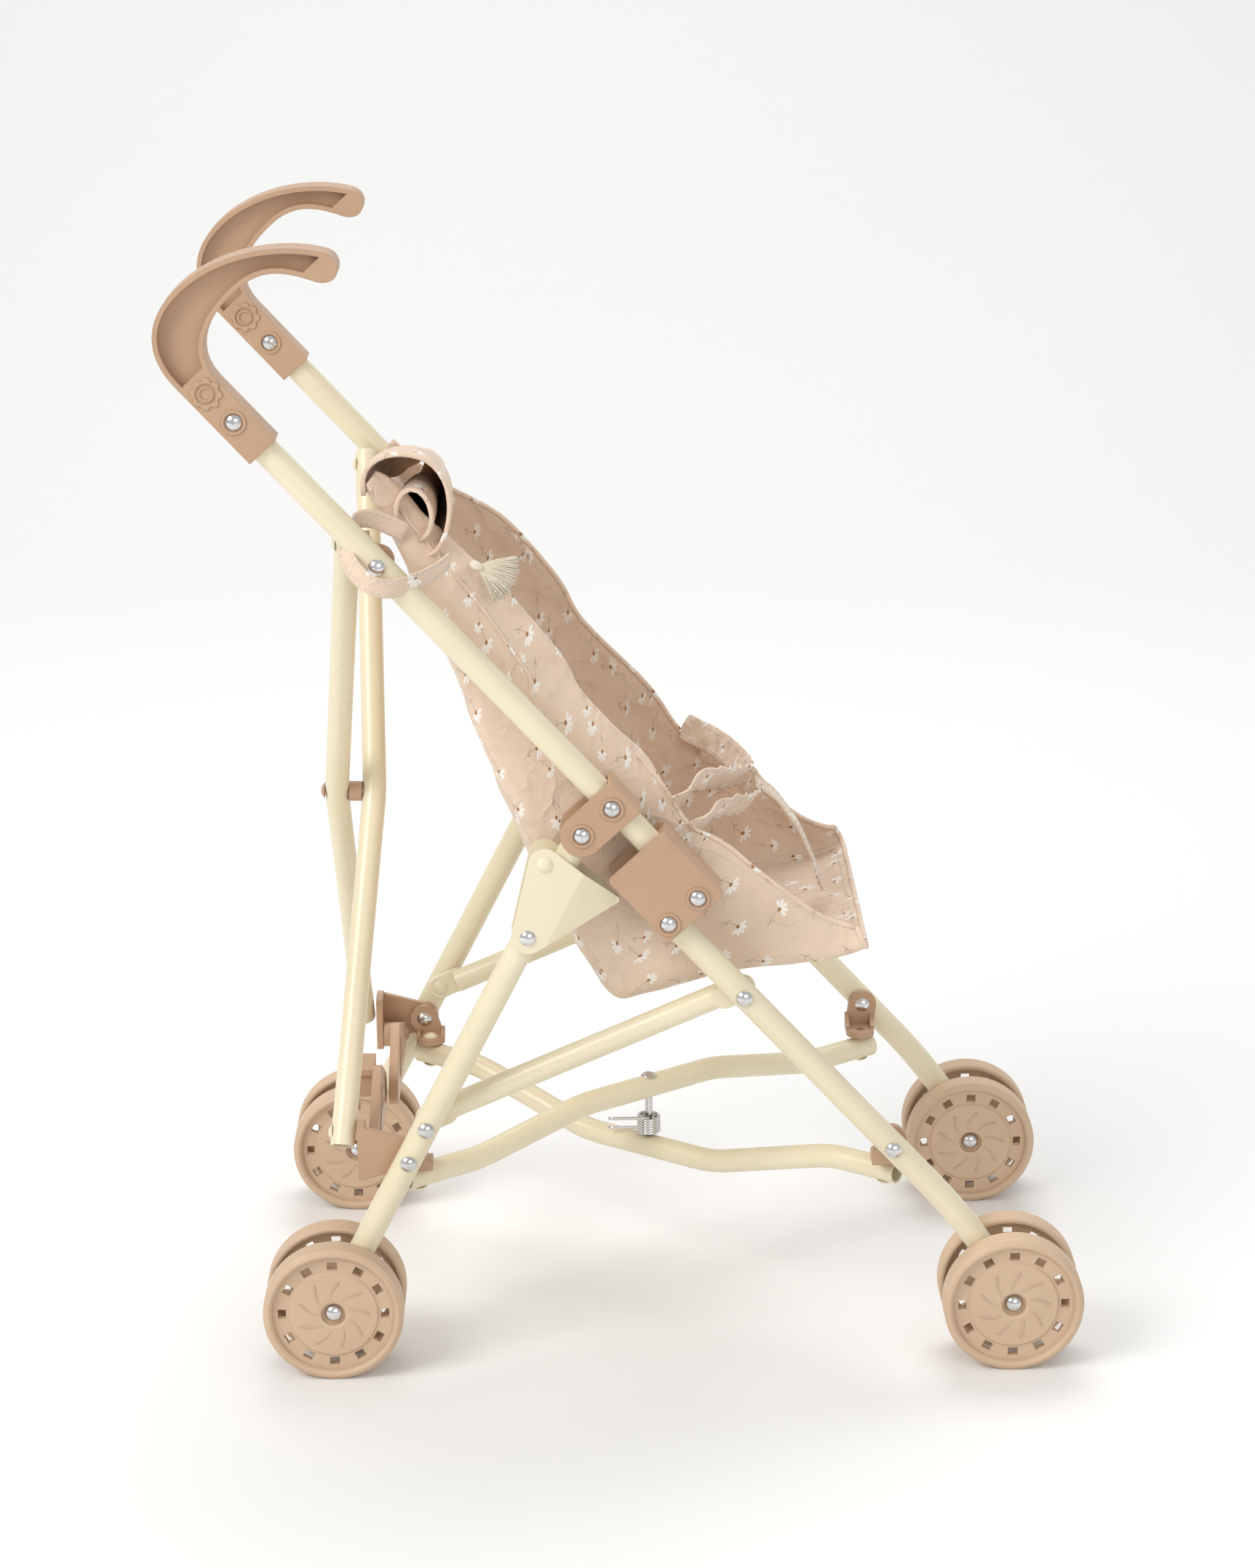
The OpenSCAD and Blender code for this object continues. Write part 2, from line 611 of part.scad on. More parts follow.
// Pin that carries the tube's top end in its knuckle
module top_rivet(y_sign) {
  on_rear_x(y_sign) {
    translate([0, 0, -cross_r + 0.4]) rotate([180, 0, 0]) dome();
    translate([0, 0, -cross_r]) cylinder(r = rivet_r, h = 2 * cross_r + top_gap + cross_plate_t);
    translate([0, 0, cross_r + top_gap + cross_plate_t]) dome();
  }
}
module rear_cross_tube_rear() color(cream) translate([x_shift, 0, 0]) {
  rear_x_tube(-1, -rear_bow);
  top_rivet(-1);
}
module rear_cross_tube_front() color(cream) translate([x_shift, 0, 0]) {
  rear_x_tube(1, rear_bow);
  top_rivet(1);
}
// Spacer and rivet at the crossing; they stay with the rear tube
module rear_cross_spacer() color(tan) translate([x_shift, 0, 0]) {
  mid = (top_pin + low_pin) / 2;
  gap = 2 * (rear_bow - cross_r) - 2 * side_gap;
  at(mid, 0) rotate([0, plane_tilt, 0]) {
    difference() {
      x_pin(5, -gap / 2, gap / 2);
      x_pin(bore_r, -gap, gap);
    }
    x_pin(rivet_r, -rear_bow - cross_r, gap / 2);
    translate([-rear_bow - cross_r, 0, 0]) rotate([0, -90, 0]) dome();
  }
}

// Top knuckle: a plate beside the push tube and a plate in front of the cross tube's end
cross_plate_t = 3.5;
module tee_bracket(p, pin, plate_t, x_gap, low, lean = 0) {
  // p is the rivet through the tube or leg, pin the cross tube's end; lean tilts the front plate
  px = cross_r + x_gap;
  difference() {
    union() {
      translate([0, -inner_face, 0]) side_plate(0, plate_t) {
        translate(p) circle(knuckle_r);
        polygon([pin + [px + 1, -low], [p[0], p[1] - knuckle_r], [p[0], p[1] + knuckle_r],
          pin + [px + 1, 6]]);
      }
      at(pin, 0) rotate([0, lean, 0]) {
        translate([px, -inner_face, -low]) cube([cross_plate_t, inner_face - rear_pin_y, low + 6]);
        translate([px, -rear_pin_y, 0]) x_pin(6, 0, cross_plate_t);
        translate([px, -rear_pin_y, -low]) cube([cross_plate_t, 6, low]);
      }
    }
    at(p, -inner_face) cross_pin(bore_r, -1, plate_t + 1);
    at(pin, -rear_pin_y) rotate([0, lean, 0]) x_pin(bore_r, px - 1, px + cross_plate_t + 1);
  }
}
module top_knuckle(right) color(tan) side(right)
  tee_bracket(top_pivot, top_pin, knuckle_t, top_gap, 6, plane_tilt);

// ---------- rear lock ----------
lock_pin_z = low_pin[1] - 15;
lock_pin_y = pin_y + 2;
lock_x = low_pin[0] + cross_r + open_gap + cross_plate_t + side_gap;
lock_t = 4.6;
module lock_bracket(right) color(tan) side(right) {
  px = low_pin[0] + cross_r + open_gap;
  difference() {
    tee_bracket(rear_pivot, low_pin, bracket_plate_t, open_gap, 22);
    translate([px, -lock_pin_y, lock_pin_z]) x_pin(bore_r, -1, cross_plate_t + 1);
  }
}
// One half of the bar: its outer end on the bracket's pin, its inner end at the middle
module lock_half(x0, boss) {
  z = lock_pin_z;
  difference() {
    union() {
      front_plate(x0, x0 + lock_t) round_plate([[-lock_pin_y, z, 6.5], [-2, z + 3, 9], [-30, z + 21, 6]]);
      front_plate(lock_x, lock_x + boss) translate([-lock_pin_y, z]) circle(6.5);
      front_plate(x0, x0 + lock_t + 0.6)
        round_plate([[-60, z + 3, 3], [-22, z + 4, 3], [-34, z + 16, 3]]);
    }
    translate([0, -lock_pin_y, z]) x_pin(bore_r, 0, 80);
    front_plate(0, 80) round_plate([[-26, z + 8, 1.2], [-44, z + 10, 1.2]]);
  }
  // pin in the bracket
  translate([0, -lock_pin_y, z]) {
    x_pin(rivet_r, lock_x - cross_plate_t - side_gap, lock_x + boss);
    translate([lock_x + boss, 0, 0]) rotate([0, 90, 0]) dome();
  }
}
module lock_bar_right() color(tan) side(true) lock_half(lock_x + 0.6, lock_t + 0.6);
module lock_bar_left() color(tan) side(false) lock_half(lock_x + lock_t + 2.4, 2 * lock_t + 2.4);
module lock_pedal() color(tan) translate([x_shift, 0, 0]) {
  // foot pad behind the bar's right half, on two short legs
  translate([lock_x + 0.6 - 15, -26, lock_pin_z + 20]) cube([15, 24, 3]);
  for (y = [-24, -8]) translate([lock_x + 0.6 - 9, y, lock_pin_z + 8]) cube([9, 4, 12]);
}

// ---------- wheels ----------
wheel_in = main_r + 0.7;
module axle(hub, right) color(chrome) side(right) at(hub) {
  out = wheel_in + wheel_w - 4;
  cross_pin(axle_d / 2, -out, out);
  for (s = [0, 1]) mirror([0, s, 0]) translate([0, -out, 0]) rotate([90, 0, 0]) dome(4.6, 3);
}
module wheel_body() {
  // axis along Z, inner face at 0, outer face at wheel_w
  w = wheel_w;
  rim = wheel_r - tread_t;
  win_out = rim - 4.2;
  win_h = 4;
  difference() {
    rotate_extrude($fn = 96) polygon([
      [axle_d / 2 + 0.08, 0], [6.5, 0], [7.2, w - 6.5], [rim, w - 6.5], [rim, 0.8], [rim + 0.8, 0],
      [wheel_r - 1, 0], [wheel_r, 1], [wheel_r, w - 2], [wheel_r - 1.2, w - 0.8], [wheel_r - 2.2, w],
      [rim - 0.2, w], [rim - 1.4, w - 1.2], [rim - 1.6, w - 3.2], [22.5, w - 3.2], [21.5, w - 2.2],
      [7.4, w - 1.6], [6, w - 2], [5.8, w - 4.2], [axle_d / 2 + 0.08, w - 4.2]]);
    for (i = [0:window_n - 1]) rotate([0, 0, i * 360 / window_n])
      translate([win_out - win_h, -2.4, w - 8]) cube([win_h, 4.8, 10]);
  }
  // curved ribs on the dished face
  ribs = 9;
  for (i = [0:ribs - 1]) rotate([0, 0, i * 360 / ribs]) intersection() {
    translate([9, -10, w - 2.4]) difference() {
      cylinder(r = 13.4, h = 0.9);
      translate([0, 0, -1]) cylinder(r = 12.5, h = 3);
    }
    translate([0, 0, w - 3]) difference() {
      cylinder(r = 20.5, h = 2);
      translate([0, 0, -1]) cylinder(r = 8.2, h = 4);
    }
    translate([0, 0, w - 3]) cube([40, 40, 3]);
  }
}
module wheel(hub, right, outer) color(wheel_tan) side(right) at(hub)
  mirror([0, outer ? 0 : 1, 0]) translate([0, -wheel_in, 0]) rotate([90, 0, 0]) wheel_body();

// ---------- fabric ----------
// The seat's line in the side view, from the top hem down the back and forward to the flap
seat_line = [[26, 432], [60, 372], [100, 282], [136, 200], [150, 186], [180, 190], [222, 200],
  [256, 206], [267, 212]];
function seat_normal(i) = let (n = len(seat_line) - 1,
  d = seat_line[min(i + 1, n)] - seat_line[max(i - 1, 0)]) unit([d[1], -d[0]]);
seat_low = 160;
module seat_fabric() color(rose) translate([x_shift, 0, 0]) {
  n = len(seat_line) - 1;
  // the sling itself
  side_plate(-seat_w / 2, seat_w / 2) polygon(concat(seat_line,
    [for (i = [n:-1:0]) seat_line[i] - seat_t * seat_normal(i)]));
  // side panels that hang from the push tubes
  for (y = [-seat_w / 2, seat_w / 2 - seat_t]) side_plate(y, y + seat_t)
    polygon([for (p = [[24, 430], [60, 372], [100, 282], [136, 200], [150, 186], [222, 200],
      [262, 209], [266, 228], [242, 252], [150, 292], [108, 330], [44, 408]]) p]);
}
module waist_strap() color(rose) translate([x_shift, 0, 0]) {
  y = seat_w / 2 - seat_t - 0.4;
  side_plate(-y, y) polygon([[196, 250], [210, 266], [208, 268], [193, 252]]);
}
module crotch_strap() color(rose) translate([x_shift, 0, 0])
  side_plate(-11, 11) polygon([[206, 250], [209, 250.4], [236, 208], [232, 206.5]]);
module tie_strap() color(rose) translate([x_shift, 0, 0]) {
  // loop of webbing round the right-hand push tube above the rear cross knuckle
  a = knee - (top_knuckle_at + 24) * down;
  at(a) rotate([0, push_angle, 0]) difference() {
    x_pin(main_r + 2.4, -5, 5);
    x_pin(main_r + 0.5, -6, 6);
  }
}
module tassel() color(ivory) translate([x_shift, 0, 0])
  side_plate(-seat_w / 2 + seat_t + 14, -seat_w / 2 + seat_t + 20)
    round_plate([[76, 382, 2], [94, 362, 5], [98, 376, 5]]);

// ---------- nodes ----------
for (s = [0, 1]) {
  r = s == 0;
  t = side_names[s];
  push_tube(r);
  handle(r);
  leg_bracket(r);
  knee_block(r);
  push_rivets(r);
  front_leg(r);
  leg_hinge(r);
  front_leg_rivets(r);
  rear_leg(r);
  rear_leg_rivets(r);
  side_strut(r);
  safety_latch(r);
  front_knuckle(r);
  rear_knuckle(r);
  lock_bracket(r);
  top_knuckle(r);
  axle(rear_hub, r);
  axle(front_hub, r);
  wheel(rear_hub, r, true);
  wheel(rear_hub, r, false);
  wheel(front_hub, r, true);
  wheel(front_hub, r, false);
}
bottom_cross_tube_upper();
bottom_cross_tube_lower();
cross_spring();
cross_rivet();
rear_cross_tube_rear();
rear_cross_tube_front();
rear_cross_spacer();
lock_bar_right();
lock_bar_left();
lock_pedal();
seat_fabric();
waist_strap();
crotch_strap();
tie_strap();
tassel();
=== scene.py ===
"""Doll stroller: fabric, small soft parts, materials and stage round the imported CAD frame."""

import json
import math

import bpy
import numpy as np
from mathutils import Matrix, Vector, noise


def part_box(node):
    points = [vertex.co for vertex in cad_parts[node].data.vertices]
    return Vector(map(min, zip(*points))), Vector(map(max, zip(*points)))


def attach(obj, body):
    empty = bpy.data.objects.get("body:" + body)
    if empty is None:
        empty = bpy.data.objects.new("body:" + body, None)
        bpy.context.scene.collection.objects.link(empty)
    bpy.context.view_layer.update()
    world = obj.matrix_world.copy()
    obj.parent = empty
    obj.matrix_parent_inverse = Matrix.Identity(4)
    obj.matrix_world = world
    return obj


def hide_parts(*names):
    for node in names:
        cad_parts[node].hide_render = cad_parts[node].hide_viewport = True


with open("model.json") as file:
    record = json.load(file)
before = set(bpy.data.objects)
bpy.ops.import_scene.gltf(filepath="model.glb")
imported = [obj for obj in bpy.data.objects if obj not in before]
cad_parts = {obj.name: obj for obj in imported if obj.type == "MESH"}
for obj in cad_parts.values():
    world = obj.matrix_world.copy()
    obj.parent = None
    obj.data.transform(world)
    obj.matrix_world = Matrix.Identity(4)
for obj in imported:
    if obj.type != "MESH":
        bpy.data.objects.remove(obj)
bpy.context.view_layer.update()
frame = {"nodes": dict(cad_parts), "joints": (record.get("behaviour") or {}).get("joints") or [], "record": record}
nodes = frame["nodes"]

# Side-view coordinates are millimetres: x from the rear axle, y to the doll's left, z up
rear_axle_low, rear_axle_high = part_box("rear_axle_right")
AXLE_X = (rear_axle_low.x + rear_axle_high.x) / 2
joints = {j["name"]: j for j in frame["joints"]}


def row(x, y, z):
    """Side-view millimetres to the row frame's metres."""
    return Vector((AXLE_X + x / 1000, y / 1000, z / 1000))


def side_view(point):
    return (point[0] - AXLE_X) * 1000, point[1] * 1000, point[2] * 1000


KNEE = side_view(joints["fold"]["pos_m"])
TOP_RIVET = side_view(joints["top_knuckle_right_turn"]["pos_m"])
TUBE_UP = Vector((TOP_RIVET[0] - KNEE[0], TOP_RIVET[2] - KNEE[2])).normalized()
TUBE_OUT = Vector((-TUBE_UP.y, TUBE_UP.x))  # square to the tube, in the side view
if TUBE_OUT.y < 0:
    TUBE_OUT = -TUBE_OUT


def by_tube(up, out):
    """A side-view point, measured up the push tube from the knee and square to it."""
    p = Vector((KNEE[0], KNEE[2])) + TUBE_UP * up + TUBE_OUT * out
    return p.x, p.y


# ---------- small helpers ----------
def smooth(t):
    t = min(1.0, max(0.0, t))
    return t * t * (3 - 2 * t)


def interp(table, t):
    """Smooth interpolation in a list of (t, x, z)."""
    ts = [r[0] for r in table]
    if t <= ts[0]:
        return np.array(table[0][1:], float)
    for i in range(len(ts) - 1):
        if t <= ts[i + 1]:
            k = (t - ts[i]) / (ts[i + 1] - ts[i])
            near = (max(0, i - 1), i, i + 1, min(len(table) - 1, i + 2))
            p = [np.array(table[j][1:], float) for j in near]
            return 0.5 * (2 * p[1] + (p[2] - p[0]) * k + (2 * p[0] - 5 * p[1] + 4 * p[2] - p[3]) * k ** 2
                          + (3 * p[1] - p[0] - 3 * p[2] + p[3]) * k ** 3)
    return np.array(table[-1][1:], float)


def wobble(x, y, z, size, seed=0.0):
    """Smooth noise from -1 to 1, with waves of about size millimetres."""
    return noise.noise(Vector((x / size + seed, y / size - seed, z / size + 0.37 * seed)))


def make_mesh(name, verts, faces, uvs=None):
    mesh = bpy.data.meshes.new(name)
    mesh.from_pydata([tuple(v) for v in verts], [], faces)
    if uvs is not None:
        layer = mesh.uv_layers.new(name="UVMap")
        for loop in mesh.loops:
            layer.data[loop.index].uv = uvs[loop.vertex_index]
    for p in mesh.polygons:
        p.use_smooth = True
    mesh.update()
    obj = bpy.data.objects.new(name, mesh)
    bpy.context.scene.collection.objects.link(obj)
    return obj


def grid_faces(rows, cols, close=False):
    last = cols if close else cols - 1
    return [(r * cols + c, r * cols + (c + 1) % cols, (r + 1) * cols + (c + 1) % cols, (r + 1) * cols + c)
            for r in range(rows - 1) for c in range(last)]


def grid_uvs(points):
    """UVs in metres along the cloth, from a rows x cols array of points in metres."""
    mid_col = points.shape[1] // 2
    du = np.linalg.norm(np.diff(points, axis=1), axis=2)
    u = np.concatenate([np.zeros((len(points), 1)), np.cumsum(du, axis=1)], axis=1)
    u -= u[:, mid_col:mid_col + 1]
    dv = np.linalg.norm(np.diff(points[:, mid_col], axis=0), axis=1)
    v = np.concatenate([[0], np.cumsum(dv)])
    return [(u[r, c], v[r]) for r in range(points.shape[0]) for c in range(points.shape[1])]


def grid_object(name, points):
    points = np.array(points, float)
    rows, cols = points.shape[:2]
    return make_mesh(name, points.reshape(-1, 3), grid_faces(rows, cols), grid_uvs(points))


def tube_along(path, radius, sides=8):
    """Vertices and faces of a capped tube along points in metres, with one radius or a list of them."""
    pts = [Vector(p) for p in path]
    n = len(pts)
    radii = radius if hasattr(radius, "__len__") else [radius] * n
    verts, side = [], None
    for i, p in enumerate(pts):
        a, b = pts[max(i - 1, 0)], pts[min(i + 1, n - 1)]
        along = (b - a).normalized() if (b - a).length > 1e-9 else Vector((0, 0, 1))
        if side is None:
            side = along.orthogonal().normalized()
        side = (side - along * side.dot(along)).normalized()
        up = along.cross(side)
        for k in range(sides):
            t = 2 * math.pi * k / sides
            verts.append(p + (side * math.cos(t) + up * math.sin(t)) * radii[i])
    faces = grid_faces(n, sides, close=True)
    faces += [tuple(reversed(range(sides))), tuple((n - 1) * sides + k for k in range(sides))]
    return verts, faces


def join_meshes(name, parts):
    """One object from several (verts, faces)."""
    verts, faces = [], []
    for v, f in parts:
        base = len(verts)
        verts += list(v)
        faces += [tuple(i + base for i in face) for face in f]
    return make_mesh(name, verts, faces)


def resample(path, step):
    pts = [Vector(p) for p in path]
    lengths = [0.0]
    for a, b in zip(pts, pts[1:]):
        lengths.append(lengths[-1] + (b - a).length)
    n = max(2, int(round(lengths[-1] / step)) + 1)
    out, j = [], 0
    for i in range(n):
        s = lengths[-1] * i / (n - 1)
        while j < len(pts) - 2 and lengths[j + 1] < s:
            j += 1
        span = lengths[j + 1] - lengths[j]
        out.append(pts[j].lerp(pts[j + 1], 0 if span < 1e-9 else (s - lengths[j]) / span))
    return out


def stitches(name, path, normals, step=0.0034, length=0.0021, radius=0.00028):
    """A row of sewn stitches: short rounded threads along a path, standing on the cloth."""
    pts = [Vector(p) for p in path]
    norms = [Vector(n) for n in normals]
    lengths = [0.0]
    for a, b in zip(pts, pts[1:]):
        lengths.append(lengths[-1] + (b - a).length)
    parts, s, j = [], step / 2, 0
    while s < lengths[-1] - step / 2:
        while j < len(pts) - 2 and lengths[j + 1] < s:
            j += 1
        span = max(1e-9, lengths[j + 1] - lengths[j])
        k = (s - lengths[j]) / span
        c = pts[j].lerp(pts[j + 1], k)
        n = norms[j].lerp(norms[j + 1], k).normalized()
        d = (pts[j + 1] - pts[j]).normalized()
        c = c + n * radius * 0.6
        path_s = [c - d * length / 2 - n * radius, c - d * length / 4, c + d * length / 4,
                  c + d * length / 2 - n * radius]
        parts.append(tube_along(path_s, [radius * 0.5, radius, radius, radius * 0.5], sides=5))
        s += step
    return join_meshes(name, parts)


# ---------- materials ----------
class Shader:
    """A Principled material and short names for the nodes it is made of."""

    def __init__(self, name, color, roughness=0.5, metallic=0.0):
        self.mat = bpy.data.materials.new(name)
        self.mat.use_nodes = True
        self.tree = self.mat.node_tree
        self.bsdf = self.tree.nodes["Principled BSDF"]
        self.bsdf.inputs["Base Color"].default_value = (*color, 1)
        self.bsdf.inputs["Roughness"].default_value = roughness
        self.bsdf.inputs["Metallic"].default_value = metallic
        coords = self.tree.nodes.new("ShaderNodeTexCoord")
        self.object_coords = coords.outputs["Object"]
        self.uv = coords.outputs["UV"]

    def put(self, socket, value):
        if isinstance(value, bpy.types.NodeSocket):
            self.tree.links.new(value, socket)
        elif isinstance(value, tuple) and len(value) == 3 and socket.type == "RGBA":
            socket.default_value = (*value, 1)
        else:
            socket.default_value = value

    def math(self, op, a, b=0.0, c=0.0, clamp=False):
        n = self.tree.nodes.new("ShaderNodeMath")
        n.operation, n.use_clamp = op, clamp
        for socket, v in zip(n.inputs, (a, b, c)):
            self.put(socket, v)
        return n.outputs[0]

    def noise(self, scale, detail=3.0, rough=0.5, coords=None):
        n = self.tree.nodes.new("ShaderNodeTexNoise")
        self.put(n.inputs["Vector"], coords or self.object_coords)
        n.inputs["Scale"].default_value = scale
        n.inputs["Detail"].default_value = detail
        n.inputs["Roughness"].default_value = rough
        return n.outputs["Fac"]

    def span(self, value, low, high, out_low=0.0, out_high=1.0):
        n = self.tree.nodes.new("ShaderNodeMapRange")
        n.clamp = True
        for name, v in (("Value", value), ("From Min", low), ("From Max", high),
                        ("To Min", out_low), ("To Max", out_high)):
            self.put(n.inputs[name], v)
        return n.outputs["Result"]

    def mix(self, factor, a, b):
        n = self.tree.nodes.new("ShaderNodeMix")
        n.data_type = "RGBA"
        self.put(n.inputs["Factor"], factor)
        rgba = [s for s in n.inputs if s.type == "RGBA"]
        self.put(rgba[0], a)
        self.put(rgba[1], b)
        return [s for s in n.outputs if s.type == "RGBA"][0]

    def bump(self, height, distance, strength=1.0, normal=None):
        n = self.tree.nodes.new("ShaderNodeBump")
        n.inputs["Distance"].default_value = distance
        n.inputs["Strength"].default_value = strength
        self.put(n.inputs["Height"], height)
        if normal is not None:
            self.put(n.inputs["Normal"], normal)
        return n.outputs["Normal"]

    def round_edges(self, radius):
        n = self.tree.nodes.new("ShaderNodeBevel")
        n.samples = 4
        n.inputs["Radius"].default_value = radius
        return n.outputs["Normal"]

    def finish(self, color=None, roughness=None, normal=None):
        for name, v in (("Base Color", color), ("Roughness", roughness), ("Normal", normal)):
            if v is not None:
                self.put(self.bsdf.inputs[name], v)
        return self.mat


def painted_tube():
    s = Shader("cream_paint", (0.77, 0.69, 0.50))
    cloud = s.noise(14, 4)
    speck = s.noise(900, 2)
    color = s.mix(s.span(cloud, 0.35, 0.7), (0.80, 0.72, 0.52), (0.74, 0.655, 0.455))
    color = s.mix(s.span(speck, 0.68, 0.74, 0, 0.25), color, (0.55, 0.46, 0.28))
    rough = s.span(s.noise(60, 5), 0.3, 0.7, 0.27, 0.40)
    s.bsdf.inputs["Coat Weight"].default_value = 0.25
    s.bsdf.inputs["Coat Roughness"].default_value = 0.18
    return s.finish(color, rough, s.bump(s.noise(420, 3), 0.00012, 0.35, s.round_edges(0.0004)))


def moulded(name, base, deep, rough_low, rough_high, grain):
    s = Shader(name, base)
    color = s.mix(s.span(s.noise(22, 5), 0.35, 0.7), base, deep)
    rough = s.span(s.noise(70, 5), 0.3, 0.7, rough_low, rough_high)
    s.bsdf.inputs["Subsurface Weight"].default_value = 0.06
    s.bsdf.inputs["Subsurface Radius"].default_value = (0.004, 0.0025, 0.0018)
    fine = s.bump(s.noise(1500, 2), 0.00008, grain, s.round_edges(0.0007))
    return s.finish(color, rough, s.bump(s.noise(90, 3), 0.0002, 0.2, fine))


def plated():
    s = Shader("bright_plating", (0.72, 0.72, 0.73), 0.1, 1.0)
    rough = s.span(s.noise(120, 5), 0.3, 0.7, 0.07, 0.2)
    color = s.mix(s.span(s.noise(40, 4), 0.4, 0.7), (0.76, 0.76, 0.77), (0.62, 0.61, 0.60))
    return s.finish(color, rough, s.bump(s.noise(500, 2), 0.00006, 0.3, s.round_edges(0.0003)))


def thread(name, color):
    s = Shader(name, color, 0.75)
    n = s.tree.nodes.new("ShaderNodeTexWave")
    n.wave_type, n.bands_direction = "BANDS", "DIAGONAL"
    s.put(n.inputs["Vector"], s.object_coords)
    n.inputs["Scale"].default_value = 900
    shade = s.mix(s.span(n.outputs["Fac"], 0.2, 0.8), color, tuple(0.8 * c for c in color))
    return s.finish(shade, None, s.bump(n.outputs["Fac"], 0.0002, 0.5))


def flowered_cloth(name):
    """Woven cotton with scattered side-view daisies, drawn in metres along the cloth."""
    s = Shader(name, (0.82, 0.65, 0.50), 0.86)
    sep = s.tree.nodes.new("ShaderNodeSeparateXYZ")
    s.put(sep.inputs[0], s.uv)
    u, v = sep.outputs["X"], sep.outputs["Y"]

    def layer(cell, shift, scale):
        """(petals, heart, stem) masks of one scatter of flowers."""
        move = s.tree.nodes.new("ShaderNodeVectorMath")
        move.operation = "ADD"
        s.put(move.inputs[0], s.uv)
        move.inputs[1].default_value = shift
        vor = s.tree.nodes.new("ShaderNodeTexVoronoi")
        vor.voronoi_dimensions = "2D"
        s.put(vor.inputs["Vector"], move.outputs[0])
        vor.inputs["Scale"].default_value = 1 / cell
        vor.inputs["Randomness"].default_value = 0.58
        off = s.tree.nodes.new("ShaderNodeVectorMath")
        off.operation = "SUBTRACT"
        s.put(off.inputs[0], move.outputs[0])
        s.put(off.inputs[1], vor.outputs["Position"])
        rgb = s.tree.nodes.new("ShaderNodeSeparateColor")
        s.put(rgb.inputs[0], vor.outputs["Color"])
        turn = s.math("MULTIPLY", s.math("SUBTRACT", rgb.outputs[0], 0.5), 2.6)
        loc = s.tree.nodes.new("ShaderNodeSeparateXYZ")
        s.put(loc.inputs[0], off.outputs[0])
        cos, sin = s.math("COSINE", turn), s.math("SINE", turn)
        dx, dy = loc.outputs["X"], loc.outputs["Y"]
        x = s.math("SUBTRACT", s.math("MULTIPLY", dx, cos), s.math("MULTIPLY", dy, sin))
        y = s.math("ADD", s.math("MULTIPLY", dx, sin), s.math("MULTIPLY", dy, cos))
        x, y = (s.math("MULTIPLY", q, 1000 / scale) for q in (x, y))
        r = s.math("SQRT", s.math("ADD", s.math("MULTIPLY", x, x), s.math("MULTIPLY", y, y)))
        angle = s.math("ARCTAN2", x, y)
        lobes = s.math("ABSOLUTE", s.math("COSINE", s.math("MULTIPLY", angle, 4.5)))
        petal = s.math("POWER", lobes, 0.55)
        fan = s.span(s.math("ABSOLUTE", angle), 1.75, 1.9, 1, 0)
        reach = s.math("MULTIPLY", s.math("ADD", 1.6, s.math("MULTIPLY", petal, 3.2)), fan)
        gap = s.math("GREATER_THAN", petal, 0.42)
        petals = s.math("MULTIPLY", s.span(s.math("SUBTRACT", r, reach), -0.25, 0.15, 1, 0), gap)
        heart = s.span(s.math("SQRT", s.math("ADD", s.math("MULTIPLY", x, x), s.math(
            "POWER", s.math("ABSOLUTE", s.math("ADD", y, 0.35)), 2.0))), 0.85, 1.15, 1, 0)
        bow = s.math("MULTIPLY", s.math("MULTIPLY", y, y), 0.035)
        on_stem = s.span(s.math("ABSOLUTE", s.math("SUBTRACT", x, bow)), 0.16, 0.3, 1, 0)
        stem_span = s.math("MULTIPLY", s.math("LESS_THAN", y, -1.0), s.math("GREATER_THAN", y, -10.5))
        stem = s.math("MULTIPLY", on_stem, stem_span)
        spread = s.math("MULTIPLY", s.math("ADD", y, 8.2), 0.7)
        leaf_x = s.math("SUBTRACT", s.math("ABSOLUTE", s.math("SUBTRACT", x, bow)), spread)
        leaf_span = s.math("MULTIPLY", s.math("LESS_THAN", y, -5.6), s.math("GREATER_THAN", y, -8.2))
        leaf = s.math("MULTIPLY", s.span(s.math("ABSOLUTE", leaf_x), 0.2, 0.42, 1, 0), leaf_span)
        return petals, heart, s.math("MAXIMUM", stem, leaf)

    cloth = s.mix(s.span(s.noise(30, 5), 0.35, 0.7), (0.83, 0.655, 0.505), (0.77, 0.595, 0.455))
    for cell, shift, scale in ((0.0235, (0.0, 0.0, 0.0), 1.0), (0.041, (0.31, 0.17, 0.0), 0.8)):
        petals, heart, stem = layer(cell, shift, scale)
        cloth = s.mix(s.math("MULTIPLY", stem, 0.55), cloth, (0.30, 0.235, 0.17))
        cloth = s.mix(petals, cloth, (0.93, 0.89, 0.83))
        cloth = s.mix(heart, cloth, (0.36, 0.17, 0.06))
